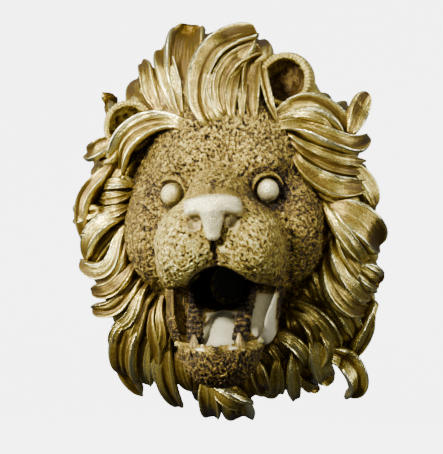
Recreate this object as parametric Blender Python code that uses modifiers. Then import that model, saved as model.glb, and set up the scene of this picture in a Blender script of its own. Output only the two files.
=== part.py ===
"""Lion head fountain spout: one resin casting with a flat back, an open roaring mouth and a waterway through it.

Lengths are millimetres up to the last step, which makes metres of them. In the working frame a point is
(right, forward, up): the wall is forward 0, and the nose is the point furthest forward.
"""

import math
from collections import namedtuple

import bpy
import numpy as np
import openvdb

# Driving dimensions, in millimetres
OVERALL = (115.0, 85.0, 150.0)  # width, projection from the wall, height
WATERWAY_RADIUS = 7.0
WATERWAY_HEIGHT = -21.5  # below the middle of the back
WATERWAY_CUT = 60.0  # length of the cutter, half of it behind the wall
MM = 0.001

# Fineness of the solid
HEAD_VOXEL = 1.0
UNION_VOXEL = 0.9
SMOOTHING_PASSES = 2
DECIMATE_RATIO = 0.045
LOCK_RINGS = 22
LOCK_TOP_POINTS = 11
LOCK_UNDER_POINTS = 3

# Box of the working frame that holds the head without its mane
FIELD_LOW = (-57.0, -8.0, -69.0)
FIELD_HIGH = (60.0, 90.0, 68.0)

# Rounded masses of the head. Those off the middle are mirrored. Pitch tips the front end down, in degrees.
Mass = namedtuple("Mass", "centre radii pitch blend")
MASSES = {
    "skull": Mass((0, 14, 6), (36, 40, 46), 0, 6),
    "cheekbone": Mass((23.5, 36, -4), (12.5, 15, 17), 0, 8),
    "brow": Mass((12.5, 45.5, 19), (10, 8, 5), 0, 5),
    "bridge of the nose": Mass((0, 57, 9.6), (9.2, 24, 8.4), 12, 4),
    "muzzle": Mass((0, 56, -3.5), (20, 23, 14), 0, 6),
    "upper lip": Mass((9.8, 66, -6.5), (11.2, 14.5, 12.3), 0, 3),
    "corner of the lip": Mass((15.8, 55, -13.5), (6.5, 12, 8.8), 0, 4),
    "throat": Mass((0, 16, -32), (23, 24, 26), 0, 6),
    "web of the jaw": Mass((14.8, 38, -29), (5.8, 13, 14), 10, 5),
    "chin": Mass((0, 54.5, -40.5), (14.6, 15.5, 14.4), 0, 3),
}
HOLLOWS = {
    "arch of the lips": Mass((0, 67, -23.5), (11.5, 34, 10.3), 0, 1.2),
    "throat passage": Mass((0, 36, -22.3), (10.6, 26, 8.5), 0, 1.5),
    "eye socket": Mass((17.3, 56, 10.1), (5.9, 8.2, 5.6), 0, 0.8),
    "nostril": Mass((6.4, 82, 0.8), (2.7, 5, 2.6), 0, 0.6),
    "groove under the nose": Mass((0, 84, -9.5), (1.2, 8.5, 7.2), 0, 1.5),
}
Block = namedtuple("Block", "centre half rounding blend")
MOUTH = Block((0, 70, -30), (14, 27, 9.6), 3, 1.0)
MOUTH_FLARE = 0.017  # how much wider the mouth grows for each millimetre up from its floor
MOUTH_SWEEP = 0.45  # how far its back comes forward for each millimetre off the middle
MOUTH_SWEEP_START = 10.0
NOSE_PAD = Block((0, 79.2, 6.5), (9.3, 4.3, 2.7), 2.0, 1.2)
NOSE_SWEEP = 0.03  # the ends of the pad lie back and hang down, by this times the square of the way out
NOSE_DROOP = 0.012
FEATURES = {
    "eyeball": Mass((16.9, 50.9, 10.1), (3.7, 3.9, 3.7), 0, 0.2),
    "tongue": Mass((0, 50, -38.1), (7.2, 17, 4.2), 20, 1),
}

# Tapered rods of the head, mirrored as the masses are: start, end, radius at each
Rod = namedtuple("Rod", "start end start_radius end_radius blend")
RODS = {
    "stem of the nose": Rod((0, 80.4, 4.4), (0.3, 80.6, -2.8), 4.3, 2.0, 1.2),
    "gum": Rod((7.6, 61, -37.5), (9.8, 45, -22), 2.5, 2.4, 0.8),
    "lower lip": Rod((0, 71.0, -39.9), (14.6, 58.5, -39.2), 0.95, 0.8, 0.3),
    "canine tooth": Rod((7.8, 64.8, -39), (7.7, 65.3, -36.0), 1.7, 0.6, 0.4),
    "inner incisor": Rod((1.6, 68.6, -39.8), (1.6, 68.6, -39.2), 0.9, 0.6, 0.3),
    "outer incisor": Rod((4.6, 67.8, -39.8), (4.6, 67.8, -39.0), 0.9, 0.6, 0.3),
}
EyeLid = namedtuple("EyeLid", "centre faces radius low_tube high_tube blend")
EYELID = EyeLid((17.1, 51.2, 10.2), (0.36, 0.93, 0.05), 5.5, -0.6, 0.7, 0.9)

# The face is turned a little about the nose, and its jaw hangs back towards the left, in degrees and mm
FACE_TURN = 3.4
FACE_PIVOT_UP = 10.0
JAW_SWING = -1.6
JAW_SWING_TOP = -20.0
JAW_SWING_BOTTOM = -34.0

# Ears: centre of the ball that each is hollowed from, its radius, and the way that the cup faces
Ear = namedtuple("Ear", "centre radius faces")
EARS = (
    Ear((-35.8, 27.5, 32.2), 9.6, (0.05, 0.95, 0.12)),
    Ear((21.8, 21.5, 49.8), 10.4, (-0.16, 0.95, 0.02)),
)
EAR_DISH_RADIUS = 9.6
EAR_DISH_OFFSET = 7.6
EAR_RIM = 1.3
EAR_BLEND = 2.0
EAR_CLEARANCE = 2.0  # no lock of the rim comes nearer to an ear's ball

# The bed that the locks lie on: a low dome that stands further from the wall at its sides, and the skull
# where that stands further out
DOME_EDGE_FORWARD = 8.0
DOME_SIDE_FORWARD = 14.0
DOME_RISE = 27.0
DOME_CENTRE_UP = -1.0
DOME_HALF_WIDTH = 58.0
DOME_HALF_HEIGHT = 73.0
BED_BLEND = 10.0
SKULL_SKIRT = 0.12  # near the skull's edge, by this share, its slope runs on straight

# The body under the mane: it follows the bed at a depth, within two ellipses that are melted together
Oval = namedtuple("Oval", "right up half_width half_height")
BODY_OVALS = (Oval(0, -1, 51, 65), Oval(12, -18, 45, 45))
BODY_DEPTH = 3.5
BODY_OVAL_BLEND = 6.0
BODY_EDGE = 6.0

# Locks of the mane as they look from the front. Root and tip are (right, up) in mm, and width is the widest
# place. Bend is how far the lock turns in all, wave its swing there and back, curl the hook at its tip, in
# degrees and to the left where positive. Lift raises it off the bed, scoop hollows its face (0 to 1), roll tips
# its face to the left of its run, in degrees, and blunt rounds its tip (0 to 1). Settle is the share of the
# bed's height that the tip loses towards the wall.
Lock = namedtuple("Lock", "root tip width bend wave curl lift scoop roll blunt settle", defaults=(0.0,))
CREST = (
    Lock((-6, 34.5), (9.5, 68.5), 9.5, -125, 0, 0, 4, 0.1, -25, 2.4),
    Lock((-3, 35), (4.5, 66), 4.5, -115, 0, 0, 3, 0.1, -15, 0.5),
    Lock((-1, 35.5), (8.5, 64.5), 4, -118, 0, 0, 2.5, 0.1, -10, 0.5),
    Lock((-13.2, 37.5), (-16.5, 72), 15, -15, 0, -15, 0, 1.35, -15, 1.8),
    Lock((-16, 37.5), (-27, 62), 8.5, -12, 0, 15, 1, 0.3, -20, 1.4),
    Lock((-19, 38.5), (-26.5, 55), 4.5, -10, 0, -10, 1.5, 0.1, 0, 0.5),
    Lock((-21.5, 38.5), (-31, 55), 5.5, -10, 0, 10, 1, 0.3, 0, 0.6),
    Lock((-24.5, 38), (-35, 57), 6.5, -20, 0, 60, 1, 0.6, 10, 0.9),
    Lock((0.5, 37.5), (11.5, 61.5), 6.5, -118, 0, 0, 3, 0.3, -15, 2.2),
    Lock((3.2, 36), (4.8, 55), 4.8, -25, 0, -20, 3, 0.3, 0, 0.2),
    Lock((6.8, 36.5), (6.4, 52), 3.6, -15, 0, 0, 2, 0.1, 0, 0.2),
    Lock((10.5, 36.5), (10.3, 58), 7.5, -18, 0, -30, 2, 1.2, 0, 0.8),
    Lock((18.3, 36), (12.3, 57.5), 3.6, -15, 0, 0, 5, 0.1, 20, 0.5),
    Lock((-3, 42), (7, 66), 13, -30, 0, 0, -3, 0, 0, 0.8),
)
RIGHT_SIDE = (
    Lock((19.5, 37), (44.5, 27.5), 10, -125, 0, 0, 3, 1.2, 20, 0.6),
    Lock((20.5, 36), (42.5, 28.5), 3.6, -80, 0, 0, 5.5, 0.1, 0, 0.4),
    Lock((21.5, 33.5), (52, 31.5), 8, -60, -15, 130, 5, 0.9, 20, 0.6),
    Lock((24.5, 29.5), (51.5, 22), 3.8, 40, 0, 0, 4, 0.2, 0, 0.4),
    Lock((25.5, 27), (52, 18.5), 5, 48, 0, 0, 4, 0.2, 0, 0.4),
    Lock((26.5, 21.5), (52.5, 14), 8, 75, 0, 0, 4.5, 0.5, 0, 0.5),
    Lock((32.5, 12.5), (45.5, 8.5), 4.5, 40, 0, 0, 2, 0.2, 0, 0.3),
    Lock((45.5, 31.5), (52, 46.5), 8.5, -15, 0, -20, 1, 0.4, 0, 0.4),
    Lock((44.5, 20.5), (55, 5.5), 10, -15, 0, 0, -5, 0, 0, 0.3),
    Lock((39, 5.5), (57, -8), 13.5, -40, 0, 0, 2, 0.3, 0, 1),
    Lock((36, 6.5), (53.5, -15.5), 6, 8, 0, 0, 6, 0.1, -15, 0.3),
    Lock((41, -3), (54.5, -23), 5.5, 35, 0, 0, 2, 0.4, 10, 0.4),
    Lock((39.5, -6.5), (54, -27), 6.5, 60, 0, 0, 3, 0.3, 10, 0.5),
    Lock((37.5, -13), (53, -31), 8.5, 85, 0, 0, 4, 0.3, 10, 0.6),
    Lock((48, -15), (57.5, -22), 10, -10, 0, 0, -1, 0.2, 0, 1),
)
LOWER_RIGHT = (
    Lock((33, -17.5), (41, -31), 6, -10, 0, 0, 1, 0.2, 0, 0.4),
    Lock((27.5, -28), (42, -49), 5.5, -75, 0, 0, 4, 0.3, -10, 0.3),
    Lock((27.3, -32), (33.5, -45.5), 6.5, -95, 0, 0, 2.5, 0.2, 0, 0.4),
    Lock((34.3, -34), (31.6, -57), 3.2, -50, 25, 0, 3.5, 0.1, 0, 0.2),
    Lock((18.1, -38.5), (31.5, -53), 5.5, -85, 0, 0, 4, 0.2, 0, 0.3),
    Lock((16.7, -42), (21.8, -50), 4, -30, 0, 0, 3.5, 0.2, 0, 0.3),
    Lock((25.9, -48), (27.1, -66.5), 6, 10, 0, 0, 1, 0.3, 0, 0.3),
    Lock((29, -57), (36, -62.5), 4.5, 30, 0, 0, -2, 0.3, 0, 0.6),
    Lock((37, -46), (46, -63.5), 9, -110, 0, -70, 3, 1.0, 0, 1),
    Lock((33, -40), (40, -60), 9, 20, 0, 0, 0, 0.3, 0, 0.6),
    Lock((55, -32.5), (46, -50.5), 7, -15, 0, 0, 0, 0.4, 0, 0.4),
    Lock((38, -24), (50, -42), 8, -25, 0, 0, -1.5, 0.1, 0, 0.5),
    Lock((20, -50), (19.5, -62.5), 7, 5, 0, 0, -0.5, 0.2, 0, 0.5),
)
CHIN = (
    Lock((11.8, -48), (15.8, -62), 6.5, 0, 0, 0, 3, 0.2, 0, 1.2),
    Lock((-3.5, -59), (10.5, -67), 7.5, 15, 0, 0, 5.5, 0.1, 10, 0.5),
    Lock((3, -60), (6.5, -74), 12.5, 5, 0, 0, 0, 0.3, 0, 1.2),
    Lock((-6.3, -57), (-5.3, -74.5), 8.5, -5, 5, 0, 3, 1.1, 0, 0.8),
    Lock((-16, -46), (-12.5, -63), 6, 25, 0, 0, 2, 0.2, 0, 0.3),
    Lock((-20.5, -40), (-17.5, -71.5), 8.5, 35, 0, 0, 2.5, 0.5, 0, 0.3),
    Lock((-24.5, -44), (-20, -65), 5, 40, 0, 0, 2.5, 0.2, 0, 0.3),
)
LOWER_LEFT = (
    Lock((-29, -32), (-33, -67), 12.5, 80, 0, 0, 2, 0.6, 0, 0.25),
    Lock((-25.5, -32), (-25.5, -61), 5, 30, 20, 0, 4, 0.2, 0, 0.2),
    Lock((-27, -42), (-29.5, -62), 8, 20, 0, 0, 0, 0.5, 0, 0.4),
    Lock((-22.5, -29), (-27, -52), 4.5, 0, 25, 0, 5, 0.2, 0, 0.2),
    Lock((-27.5, -28.5), (-38.5, -52), 6, 25, 15, 0, 3, 0.2, 0, 0.3),
    Lock((-35.5, -36), (-39.5, -50), 4.5, 85, 0, 0, 3, 0.2, 0, 0.3),
    Lock((-29, -24.5), (-42.5, -40.5), 5, -25, 15, 0, 4, 0.2, 0, 0.4),
    Lock((-31, -21.5), (-51, -33.5), 6.5, -45, 10, 0, 3, 0.2, 0, 0.6),
    Lock((-32, -15), (-50.5, -26.5), 6.5, -45, 10, 0, 4, 0.2, 0, 0.6),
)
LEFT_SIDE = (
    Lock((-34.5, -6.5), (-48.5, -23), 6, -10, 25, 0, 3, 0.2, 0, 0.4),
    Lock((-35.5, -2.5), (-55, -15.5), 6.5, -10, 35, -80, 3, 0.3, 0, 0.8),
    Lock((-36, 1.5), (-51, -16.5), 7, 85, 0, 0, 4, 0.3, 0, 0.4),
    Lock((-34.5, 4.5), (-47, 1.5), 5, -25, 0, 0, 3, 0.1, 0, 0.3),
    Lock((-34.5, 8.5), (-46.5, 7.5), 5, -30, 0, 0, 3, 0.1, 0, 0.3),
    Lock((-34.5, 12), (-46, 11), 4.5, 30, 0, 0, 2, 0.1, 0, 0.3),
    Lock((-46, 2.5), (-57.5, 0.5), 8, 15, 0, 0, 0, 0.3, 0, 1),
    Lock((-42, 19.5), (-50, -13), 6.5, 30, -20, 0, 2, 0.4, 0, 0.5),
    Lock((-16.5, 33.5), (-38.5, 12), 10, 125, 0, 0, 7, 0.9, 15, 0.6),
    Lock((-17, 36), (-31.5, 33.5), 3.5, 45, 0, 0, 4, 0.1, 0, 0.3),
    Lock((-39, 28.5), (-53.5, 23.5), 7.5, -20, 0, -30, 2, 0.7, 0, 1),
    Lock((-39.5, 26.5), (-46.5, 22), 4.5, -150, 0, 0, 3, 0.1, 0, 0.5),
    Lock((-44, 36), (-49.5, 45.6), 4, -10, 0, 25, -9, 0.2, 0, 1),
    Lock((-36, 18), (-44, 2), 9, 30, 0, 0, -2, 0.1, 0, 0.4),
)
MANE = CREST + RIGHT_SIDE + LOWER_RIGHT + CHIN + LOWER_LEFT + LEFT_SIDE

# Rings of plain locks that run from under those above back to the wall
Ring = namedtuple("Ring", "count root_share tip_share width lift settle turn")
RIM = (
    Ring(34, 0.66, 0.965, 12.0, -4.0, 0.65, 35.0),
    Ring(30, 0.70, 0.90, 13.0, -10.0, 0.75, -30.0),
)

ROOT_LENGTH = 4.0  # how far a lock starts before its root, under the skin
ROOT_DEPTH = 4.0
LOCK_SINK = 7.0  # how deep the underside of a lock lies at its root, and at its tip
TIP_SINK = 2.0
LOCK_HEIGHT = 0.42  # height of its crown over its widest half-width
TIP_DROP = 5.0
RESIN_COLOUR = (0.50, 0.34, 0.10, 1.0)


def smooth_step(low, high, value):
    share = np.clip((value - low) / (high - low), 0, 1)
    return share * share * (3 - 2 * share)


def joined(first, second, blend):
    """Union of two signed distances, with a fillet of about the blend's size."""
    if blend == 0:
        return np.minimum(first, second)
    share = np.clip(0.5 + 0.5 * (second - first) / blend, 0, 1)
    return second * (1 - share) + first * share - blend * share * (1 - share)


def carved(solid, tool, blend):
    return -joined(-solid, tool, blend)


def mass_field(point, mass):
    """Nearly the signed distance to an ellipsoid whose front end is pitched down."""
    side, forward, up = (p - c for p, c in zip(point, mass.centre))
    if mass.pitch:
        cos, sin = math.cos(math.radians(mass.pitch)), math.sin(math.radians(mass.pitch))
        forward, up = forward * cos - up * sin, forward * sin + up * cos
    scaled = [d / r for d, r in zip((side, forward, up), mass.radii)]
    length = np.sqrt(sum(s * s for s in scaled))
    steepness = np.sqrt(sum((s / r) ** 2 for s, r in zip(scaled, mass.radii)))
    return length * (length - 1) / np.maximum(steepness, 1e-6)


def rod_field(point, rod):
    start, end = np.array(rod.start, float), np.array(rod.end, float)
    run = end - start
    offset = [p - c for p, c in zip(point, start)]
    share = np.clip(sum(o * r for o, r in zip(offset, run)) / run.dot(run), 0, 1)
    distance = np.sqrt(sum((o - share * r) ** 2 for o, r in zip(offset, run)))
    return distance - (rod.start_radius + share * (rod.end_radius - rod.start_radius))


def ball_field(point, centre, radius):
    return np.sqrt(sum((p - c) ** 2 for p, c in zip(point, centre))) - radius


def block_field(point, block):
    """Signed distance to a box with rounded edges."""
    over = [np.abs(p - c) - h + block.rounding for p, c, h in zip(point, block.centre, block.half)]
    outside = np.sqrt(sum(np.maximum(o, 0) ** 2 for o in over))
    inside = np.minimum(np.maximum(np.maximum(over[0], over[1]), over[2]), 0)
    return outside + inside - block.rounding


def ear_rim(ear):
    """The way that an ear faces, the middle of its rim's circle and the circle's radius."""
    faces = np.array(ear.faces) / np.linalg.norm(ear.faces)
    along = (ear.radius**2 - EAR_DISH_RADIUS**2 + EAR_DISH_OFFSET**2) / (2 * EAR_DISH_OFFSET)
    return faces, np.array(ear.centre) + faces * along, math.sqrt(ear.radius**2 - along**2)


def ear_dish(point, ear):
    faces = np.array(ear.faces) / np.linalg.norm(ear.faces)
    return ball_field(point, np.array(ear.centre) + faces * EAR_DISH_OFFSET, EAR_DISH_RADIUS)


def ear_field(point, ear):
    """A dish with a thick rim, open the way that it faces."""
    faces, middle, across = ear_rim(ear)
    cup = carved(ball_field(point, ear.centre, ear.radius), ear_dish(point, ear), 1.0)
    offset = [p - c for p, c in zip(point, middle)]
    along = sum(o * n for o, n in zip(offset, faces))
    out = np.sqrt(np.maximum(sum(o * o for o in offset) - along**2, 1e-6))
    return joined(cup, np.hypot(out - across + EAR_RIM / 2, along) - EAR_RIM, 0.8)


def body_field(right, forward, up):
    """Roughly the signed distance to the body under the mane, which is flat at the wall."""
    height = 0.8 * (forward - bed_forward(right, up) + BODY_DEPTH)
    side = None
    for oval in BODY_OVALS:
        reach = np.hypot((right - oval.right) / oval.half_width, (up - oval.up) / oval.half_height)
        field = (reach - 1) * min(oval.half_width, oval.half_height)
        side = field if side is None else joined(side, field, BODY_OVAL_BLEND)
    solid = -joined(-height, -side, BODY_EDGE)
    for ear in EARS:
        solid = carved(solid, ear_dish((right, forward, up), ear), 1.0)
    return solid


def eyelid_field(point):
    """A ring round the eye, thickest over it."""
    faces = np.array(EYELID.faces) / np.linalg.norm(EYELID.faces)
    offset = [p - c for p, c in zip(point, EYELID.centre)]
    along = sum(o * n for o, n in zip(offset, faces))
    out = np.sqrt(np.maximum(sum(o * o for o in offset) - along**2, 1e-6))
    tube = EYELID.low_tube + (EYELID.high_tube - EYELID.low_tube) * (0.5 + 0.5 * offset[2] / out)
    return np.hypot(out - EYELID.radius, along) - tube


def mouth_field(point):
    """The open mouth between the lips, wider towards the top and swept back in the middle."""
    off, forward, along = point
    floor = MOUTH.centre[2] - MOUTH.half[2]
    off = off / (1 + MOUTH_FLARE * np.maximum(along - floor, 0))
    forward = forward - MOUTH_SWEEP * (off - MOUTH_SWEEP_START)
    return block_field((off, forward, along), MOUTH)


def nose_field(point):
    off, forward, along = point
    return block_field((off, forward + NOSE_SWEEP * off**2, along + NOSE_DROOP * off**2), NOSE_PAD)


def face_point(right, forward, up):
    """A place in the face's own halves: how far off its middle line, forward, and up along it."""
    cos, sin = math.cos(math.radians(FACE_TURN)), math.sin(math.radians(FACE_TURN))
    rise = up - FACE_PIVOT_UP
    along = rise * cos - right * sin + FACE_PIVOT_UP
    off = right * cos + rise * sin - JAW_SWING * smooth_step(JAW_SWING_TOP, JAW_SWING_BOTTOM, along)
    return np.abs(off), forward, along


def bed_forward(right, up):
    """How far forward of the wall the bed of the mane stands at a place seen from the front."""
    skull = MASSES["skull"]
    reach = (right / DOME_HALF_WIDTH) ** 2 + ((up - DOME_CENTRE_UP) / DOME_HALF_HEIGHT) ** 2
    edge = DOME_EDGE_FORWARD + DOME_SIDE_FORWARD * np.clip(np.abs(right) / DOME_HALF_WIDTH, 0, 1) ** 2
    dome = edge + DOME_RISE * np.sqrt(np.clip(1 - reach, 0, 1))
    reach = (right / skull.radii[0]) ** 2 + ((up - skull.centre[2]) / skull.radii[2]) ** 2
    inward = 1 - reach
    skirt = (inward + SKULL_SKIRT) / (2 * math.sqrt(SKULL_SKIRT))
    front = np.where(inward > SKULL_SKIRT, np.sqrt(np.maximum(inward, SKULL_SKIRT)), skirt)
    front = skull.centre[1] + skull.radii[1] * front
    return -joined(-dome, -front, BED_BLEND)


def head_field(right, forward, up):
    """Signed distance to the head and the body under its mane, negative inside."""
    point = face_point(right, forward, up)
    solid = body_field(right, forward, up)
    for mass in MASSES.values():
        solid = joined(solid, mass_field(point, mass), mass.blend)
    for ear in EARS:
        solid = carved(solid, ear_dish((right, forward, up), ear), 1.0)
        solid = joined(solid, ear_field((right, forward, up), ear), EAR_BLEND)
    solid = carved(solid, mouth_field(point), MOUTH.blend)
    for hollow in HOLLOWS.values():
        solid = carved(solid, mass_field(point, hollow), hollow.blend)
    solid = joined(solid, nose_field(point), NOSE_PAD.blend)
    solid = joined(solid, eyelid_field(point), EYELID.blend)
    for feature in FEATURES.values():
        solid = joined(solid, mass_field(point, feature), feature.blend)
    for rod in RODS.values():
        solid = joined(solid, rod_field(point, rod), rod.blend)
    return solid


def head_surface():
    """Points and quads of the head's skin."""
    axes = [np.arange(low, high, HEAD_VOXEL, dtype=np.float32) for low, high in zip(FIELD_LOW, FIELD_HIGH)]
    right, forward, up = np.meshgrid(*axes, indexing="ij", sparse=True)
    band = 4.0
    grid = openvdb.FloatGrid(band)
    grid.copyFromArray(np.clip(head_field(right, forward, up), -band, band).astype(np.float32))
    points, _, quads = grid.convertToPolygons(isovalue=0.0, adaptivity=0.0)
    return points * HEAD_VOXEL + np.array(FIELD_LOW, np.float32), quads


def lock_line(lock, share):
    """Middle line of a lock, seen from the front, as complex numbers right + up * i."""
    hook = np.clip((share - 0.6) / 0.4, 0, 1) ** 2
    heading = np.radians(lock.bend * share + lock.wave * np.sin(2 * np.pi * share) + lock.curl * hook)
    stride = np.exp(1j * heading)
    line = np.concatenate([[0], np.cumsum((stride[1:] + stride[:-1]) / 2)])
    root, tip = complex(*lock.root), complex(*lock.tip)
    way = (tip - root) / line[-1]
    buried = -ROOT_LENGTH * way / abs(way)
    return np.concatenate([[root + buried, root + buried / 2], root + way * line])


def lock_width(lock, share):
    """Half-width along a lock: slim at the root, full past the middle, then pointed or blunt."""
    swell = 0.45 + 0.55 * np.sin(np.pi / 2 * np.clip(share / 0.5, 0, 1))
    past = np.clip((share - 0.5) / 0.5, 0, 1)
    power = 1.5 + 3.0 * lock.blunt
    taper = (1 - past**power) ** (1.0 / (1.2 + 0.8 * lock.blunt))
    return lock.width / 2 * swell * np.maximum(taper, 0.10)


def lock_surface(lock):
    """Points, in mm, and faces of one closed lock."""
    share = np.linspace(0, 1, LOCK_RINGS - 2)
    line = lock_line(lock, share)
    right, up = line.real, line.imag
    buried = np.concatenate([[1, 0.5], np.zeros(LOCK_RINGS - 2)])
    share = np.concatenate([[0, 0], share])
    rise = lock.lift * np.sin(np.pi * np.clip(share * 0.9 + 0.08, 0, 1))
    forward = bed_forward(right, up) * (1 - lock.settle * share**2)
    forward += rise - TIP_DROP * share**3 - ROOT_DEPTH * buried
    centre = np.stack([right, forward, up], axis=1)
    tangent = np.gradient(centre, axis=0)
    tangent /= np.linalg.norm(tangent, axis=1)[:, None]
    outward = np.stack([right / DOME_HALF_WIDTH, np.full_like(right, 1.1), up / DOME_HALF_HEIGHT], axis=1)
    across = np.cross(outward, tangent)
    across /= np.linalg.norm(across, axis=1)[:, None]
    normal = np.cross(tangent, across)
    roll = np.radians(lock.roll) * np.sin(np.pi * share)[:, None]
    across, normal = across * np.cos(roll) + normal * np.sin(roll), normal * np.cos(roll) - across * np.sin(roll)
    half = lock_width(lock, share)[:, None]
    side = np.sin(np.linspace(-np.pi / 2, np.pi / 2, LOCK_TOP_POINTS))[None, :]
    crown = np.sqrt(1 - side**2) * (1 - 0.75 * lock.scoop * (1 - side**2))
    top_side, top_height = side * half, crown * half * 2 * LOCK_HEIGHT
    under = np.linspace(1, -1, LOCK_UNDER_POINTS + 2)[None, 1:-1]
    under_side = under * half * 0.8
    sink = (LOCK_SINK + (TIP_SINK - LOCK_SINK) * share)[:, None] * np.minimum(half / 2, 1)
    under_height = np.broadcast_to(-sink, under_side.shape)
    sides = np.concatenate([top_side, under_side], axis=1)[:, :, None]
    heights = np.concatenate([top_height, under_height], axis=1)[:, :, None]
    points = centre[:, None, :] + across[:, None, :] * sides + normal[:, None, :] * heights
    ring = points.shape[1]
    faces = [
        (row * ring + k, row * ring + (k + 1) % ring, (row + 1) * ring + (k + 1) % ring, (row + 1) * ring + k)
        for row in range(LOCK_RINGS - 1)
        for k in range(ring)
    ]
    faces.append(tuple(reversed(range(ring))))
    faces.append(tuple(range((LOCK_RINGS - 1) * ring, LOCK_RINGS * ring)))
    return points.reshape(-1, 3), faces


def rim_locks():
    for ring in RIM:
        for k in range(ring.count):
            angle = 2 * math.pi * (k + 0.5) / ring.count
            way = (DOME_HALF_WIDTH * math.cos(angle), DOME_HALF_HEIGHT * math.sin(angle))
            root = tuple(w * ring.root_share for w in way)
            tip = tuple(w * (ring.tip_share - 0.03 * (k % 3)) for w in way)
            middle = tuple((a + b) / 2 for a, b in zip(root, tip))
            if any(
                math.dist(place, (ear.centre[0], ear.centre[2])) < ear.radius + EAR_CLEARANCE
                for ear in EARS
                for place in (middle, tip)
            ):
                continue
            bend = ring.turn if k % 4 else -ring.turn
            yield Lock(root, tip, ring.width, bend, 0, 0, ring.lift, 0.2, 0, 0.5, ring.settle)


def mesh_object(name, points, faces, collection):
    """A mesh from working-frame millimetres: forward becomes -Y."""
    right, forward, up = np.asarray(points, float).T
    mesh = bpy.data.meshes.new(name)
    mesh.from_pydata(np.stack([right, -forward, up], axis=1) * MM, [], faces)
    mesh.validate()
    made = bpy.data.objects.new(name, mesh)
    collection.objects.link(made)
    return made


def rough_casting(collection):
    """Head and locks in one mesh of overlapping closed skins, merged by a voxel remesh and thinned."""
    points, quads = head_surface()
    all_points, all_faces = [points], [tuple(int(i) for i in quad) for quad in quads]
    count = len(points)
    for lock in (*MANE, *rim_locks()):
        lock_points, lock_faces = lock_surface(lock)
        all_points.append(lock_points)
        all_faces += [tuple(count + i for i in face) for face in lock_faces]
        count += len(lock_points)
    rough = mesh_object("rough_casting", np.concatenate(all_points), all_faces, collection)
    remesh = rough.modifiers.new("merge", "REMESH")
    remesh.mode = "VOXEL"
    remesh.voxel_size = UNION_VOXEL * MM
    smooth = rough.modifiers.new("smooth", "SMOOTH")
    smooth.factor = 0.5
    smooth.iterations = SMOOTHING_PASSES
    thin = rough.modifiers.new("thin", "DECIMATE")
    thin.ratio = DECIMATE_RATIO
    return rough


def wall_and_bore(collection):
    """Cutters: everything behind the wall plane, and the waterway from there into the mouth."""
    bpy.ops.mesh.primitive_cube_add(size=1, location=(0, 0.02, 0))
    wall = bpy.context.object
    wall.name = "wall_cutter"
    wall.scale = (0.3, 0.04, 0.3)
    bpy.ops.mesh.primitive_cylinder_add(
        vertices=32,
        radius=WATERWAY_RADIUS * MM,
        depth=WATERWAY_CUT * MM,
        location=(0, 0, WATERWAY_HEIGHT * MM),
        rotation=(math.pi / 2, 0, 0),
    )
    bore = bpy.context.object
    bore.name = "waterway_cutter"
    for cutter in (wall, bore):
        for owner in list(cutter.users_collection):
            owner.objects.unlink(cutter)
        collection.objects.link(cutter)
        cutter.hide_render = True
        cutter.display_type = "WIRE"
    return wall, bore


def fit_to_overall(mesh):
    """Stretch a mesh so that it fills the overall box in front of the wall plane."""
    places = np.empty(len(mesh.vertices) * 3, np.float32)
    mesh.vertices.foreach_get("co", places)
    places = places.reshape(-1, 3)
    low, high = places.min(axis=0), places.max(axis=0)
    width, depth, height = (size * MM for size in OVERALL)
    stretch = np.array([width / (high[0] - low[0]), depth / -low[1], height / (high[2] - low[2])])
    centre = np.array([(low[0] + high[0]) / 2, 0, (low[2] + high[2]) / 2])
    mesh.vertices.foreach_set("co", ((places - centre) * stretch).astype(np.float32).ravel())
    mesh.update()


def main():
    for old in list(bpy.data.objects):
        bpy.data.objects.remove(old)
    parts = bpy.data.collections.new("lion_head_spout")
    bpy.context.scene.collection.children.link(parts)
    tools = bpy.data.collections.new("cutters")
    bpy.context.scene.collection.children.link(tools)
    rough = rough_casting(parts)
    graph = bpy.context.evaluated_depsgraph_get()
    mesh = bpy.data.meshes.new_from_object(rough.evaluated_get(graph))
    bpy.data.objects.remove(rough)
    fit_to_overall(mesh)
    head = bpy.data.objects.new("lion_head", mesh)
    parts.objects.link(head)
    for cutter in wall_and_bore(tools):
        cut = head.modifiers.new(cutter.name, "BOOLEAN")
        cut.operation = "DIFFERENCE"
        cut.solver = "EXACT"
        cut.object = cutter
    resin = bpy.data.materials.new("antique_gold")
    resin.use_nodes = True
    shader = resin.node_tree.nodes["Principled BSDF"]
    shader.inputs["Base Color"].default_value = RESIN_COLOUR
    shader.inputs["Roughness"].default_value = 0.45
    mesh.materials.clear()
    mesh.materials.append(resin)


main()
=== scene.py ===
"""Looks of the lion head fountain spout: one gold-painted resin casting, made as several fine skins.

Lengths are millimetres in a working frame up to the last step. A point there is (right, forward, up), and
the wall is at forward 0.
"""

import itertools
import math
from collections import namedtuple

import bpy
import numpy as np
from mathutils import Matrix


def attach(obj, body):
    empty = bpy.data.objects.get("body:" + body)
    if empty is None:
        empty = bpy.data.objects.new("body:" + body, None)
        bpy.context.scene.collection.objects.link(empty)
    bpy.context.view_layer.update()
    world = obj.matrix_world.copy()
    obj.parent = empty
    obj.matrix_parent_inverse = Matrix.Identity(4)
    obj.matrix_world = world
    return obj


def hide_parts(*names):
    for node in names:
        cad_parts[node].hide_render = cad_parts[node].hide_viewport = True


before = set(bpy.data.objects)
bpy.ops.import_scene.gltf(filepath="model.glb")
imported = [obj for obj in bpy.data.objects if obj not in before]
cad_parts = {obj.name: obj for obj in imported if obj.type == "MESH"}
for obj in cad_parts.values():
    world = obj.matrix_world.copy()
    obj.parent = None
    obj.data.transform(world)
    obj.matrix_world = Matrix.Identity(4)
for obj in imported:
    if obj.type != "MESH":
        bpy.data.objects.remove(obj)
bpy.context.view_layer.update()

import openvdb
from mathutils import Matrix, Vector

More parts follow.
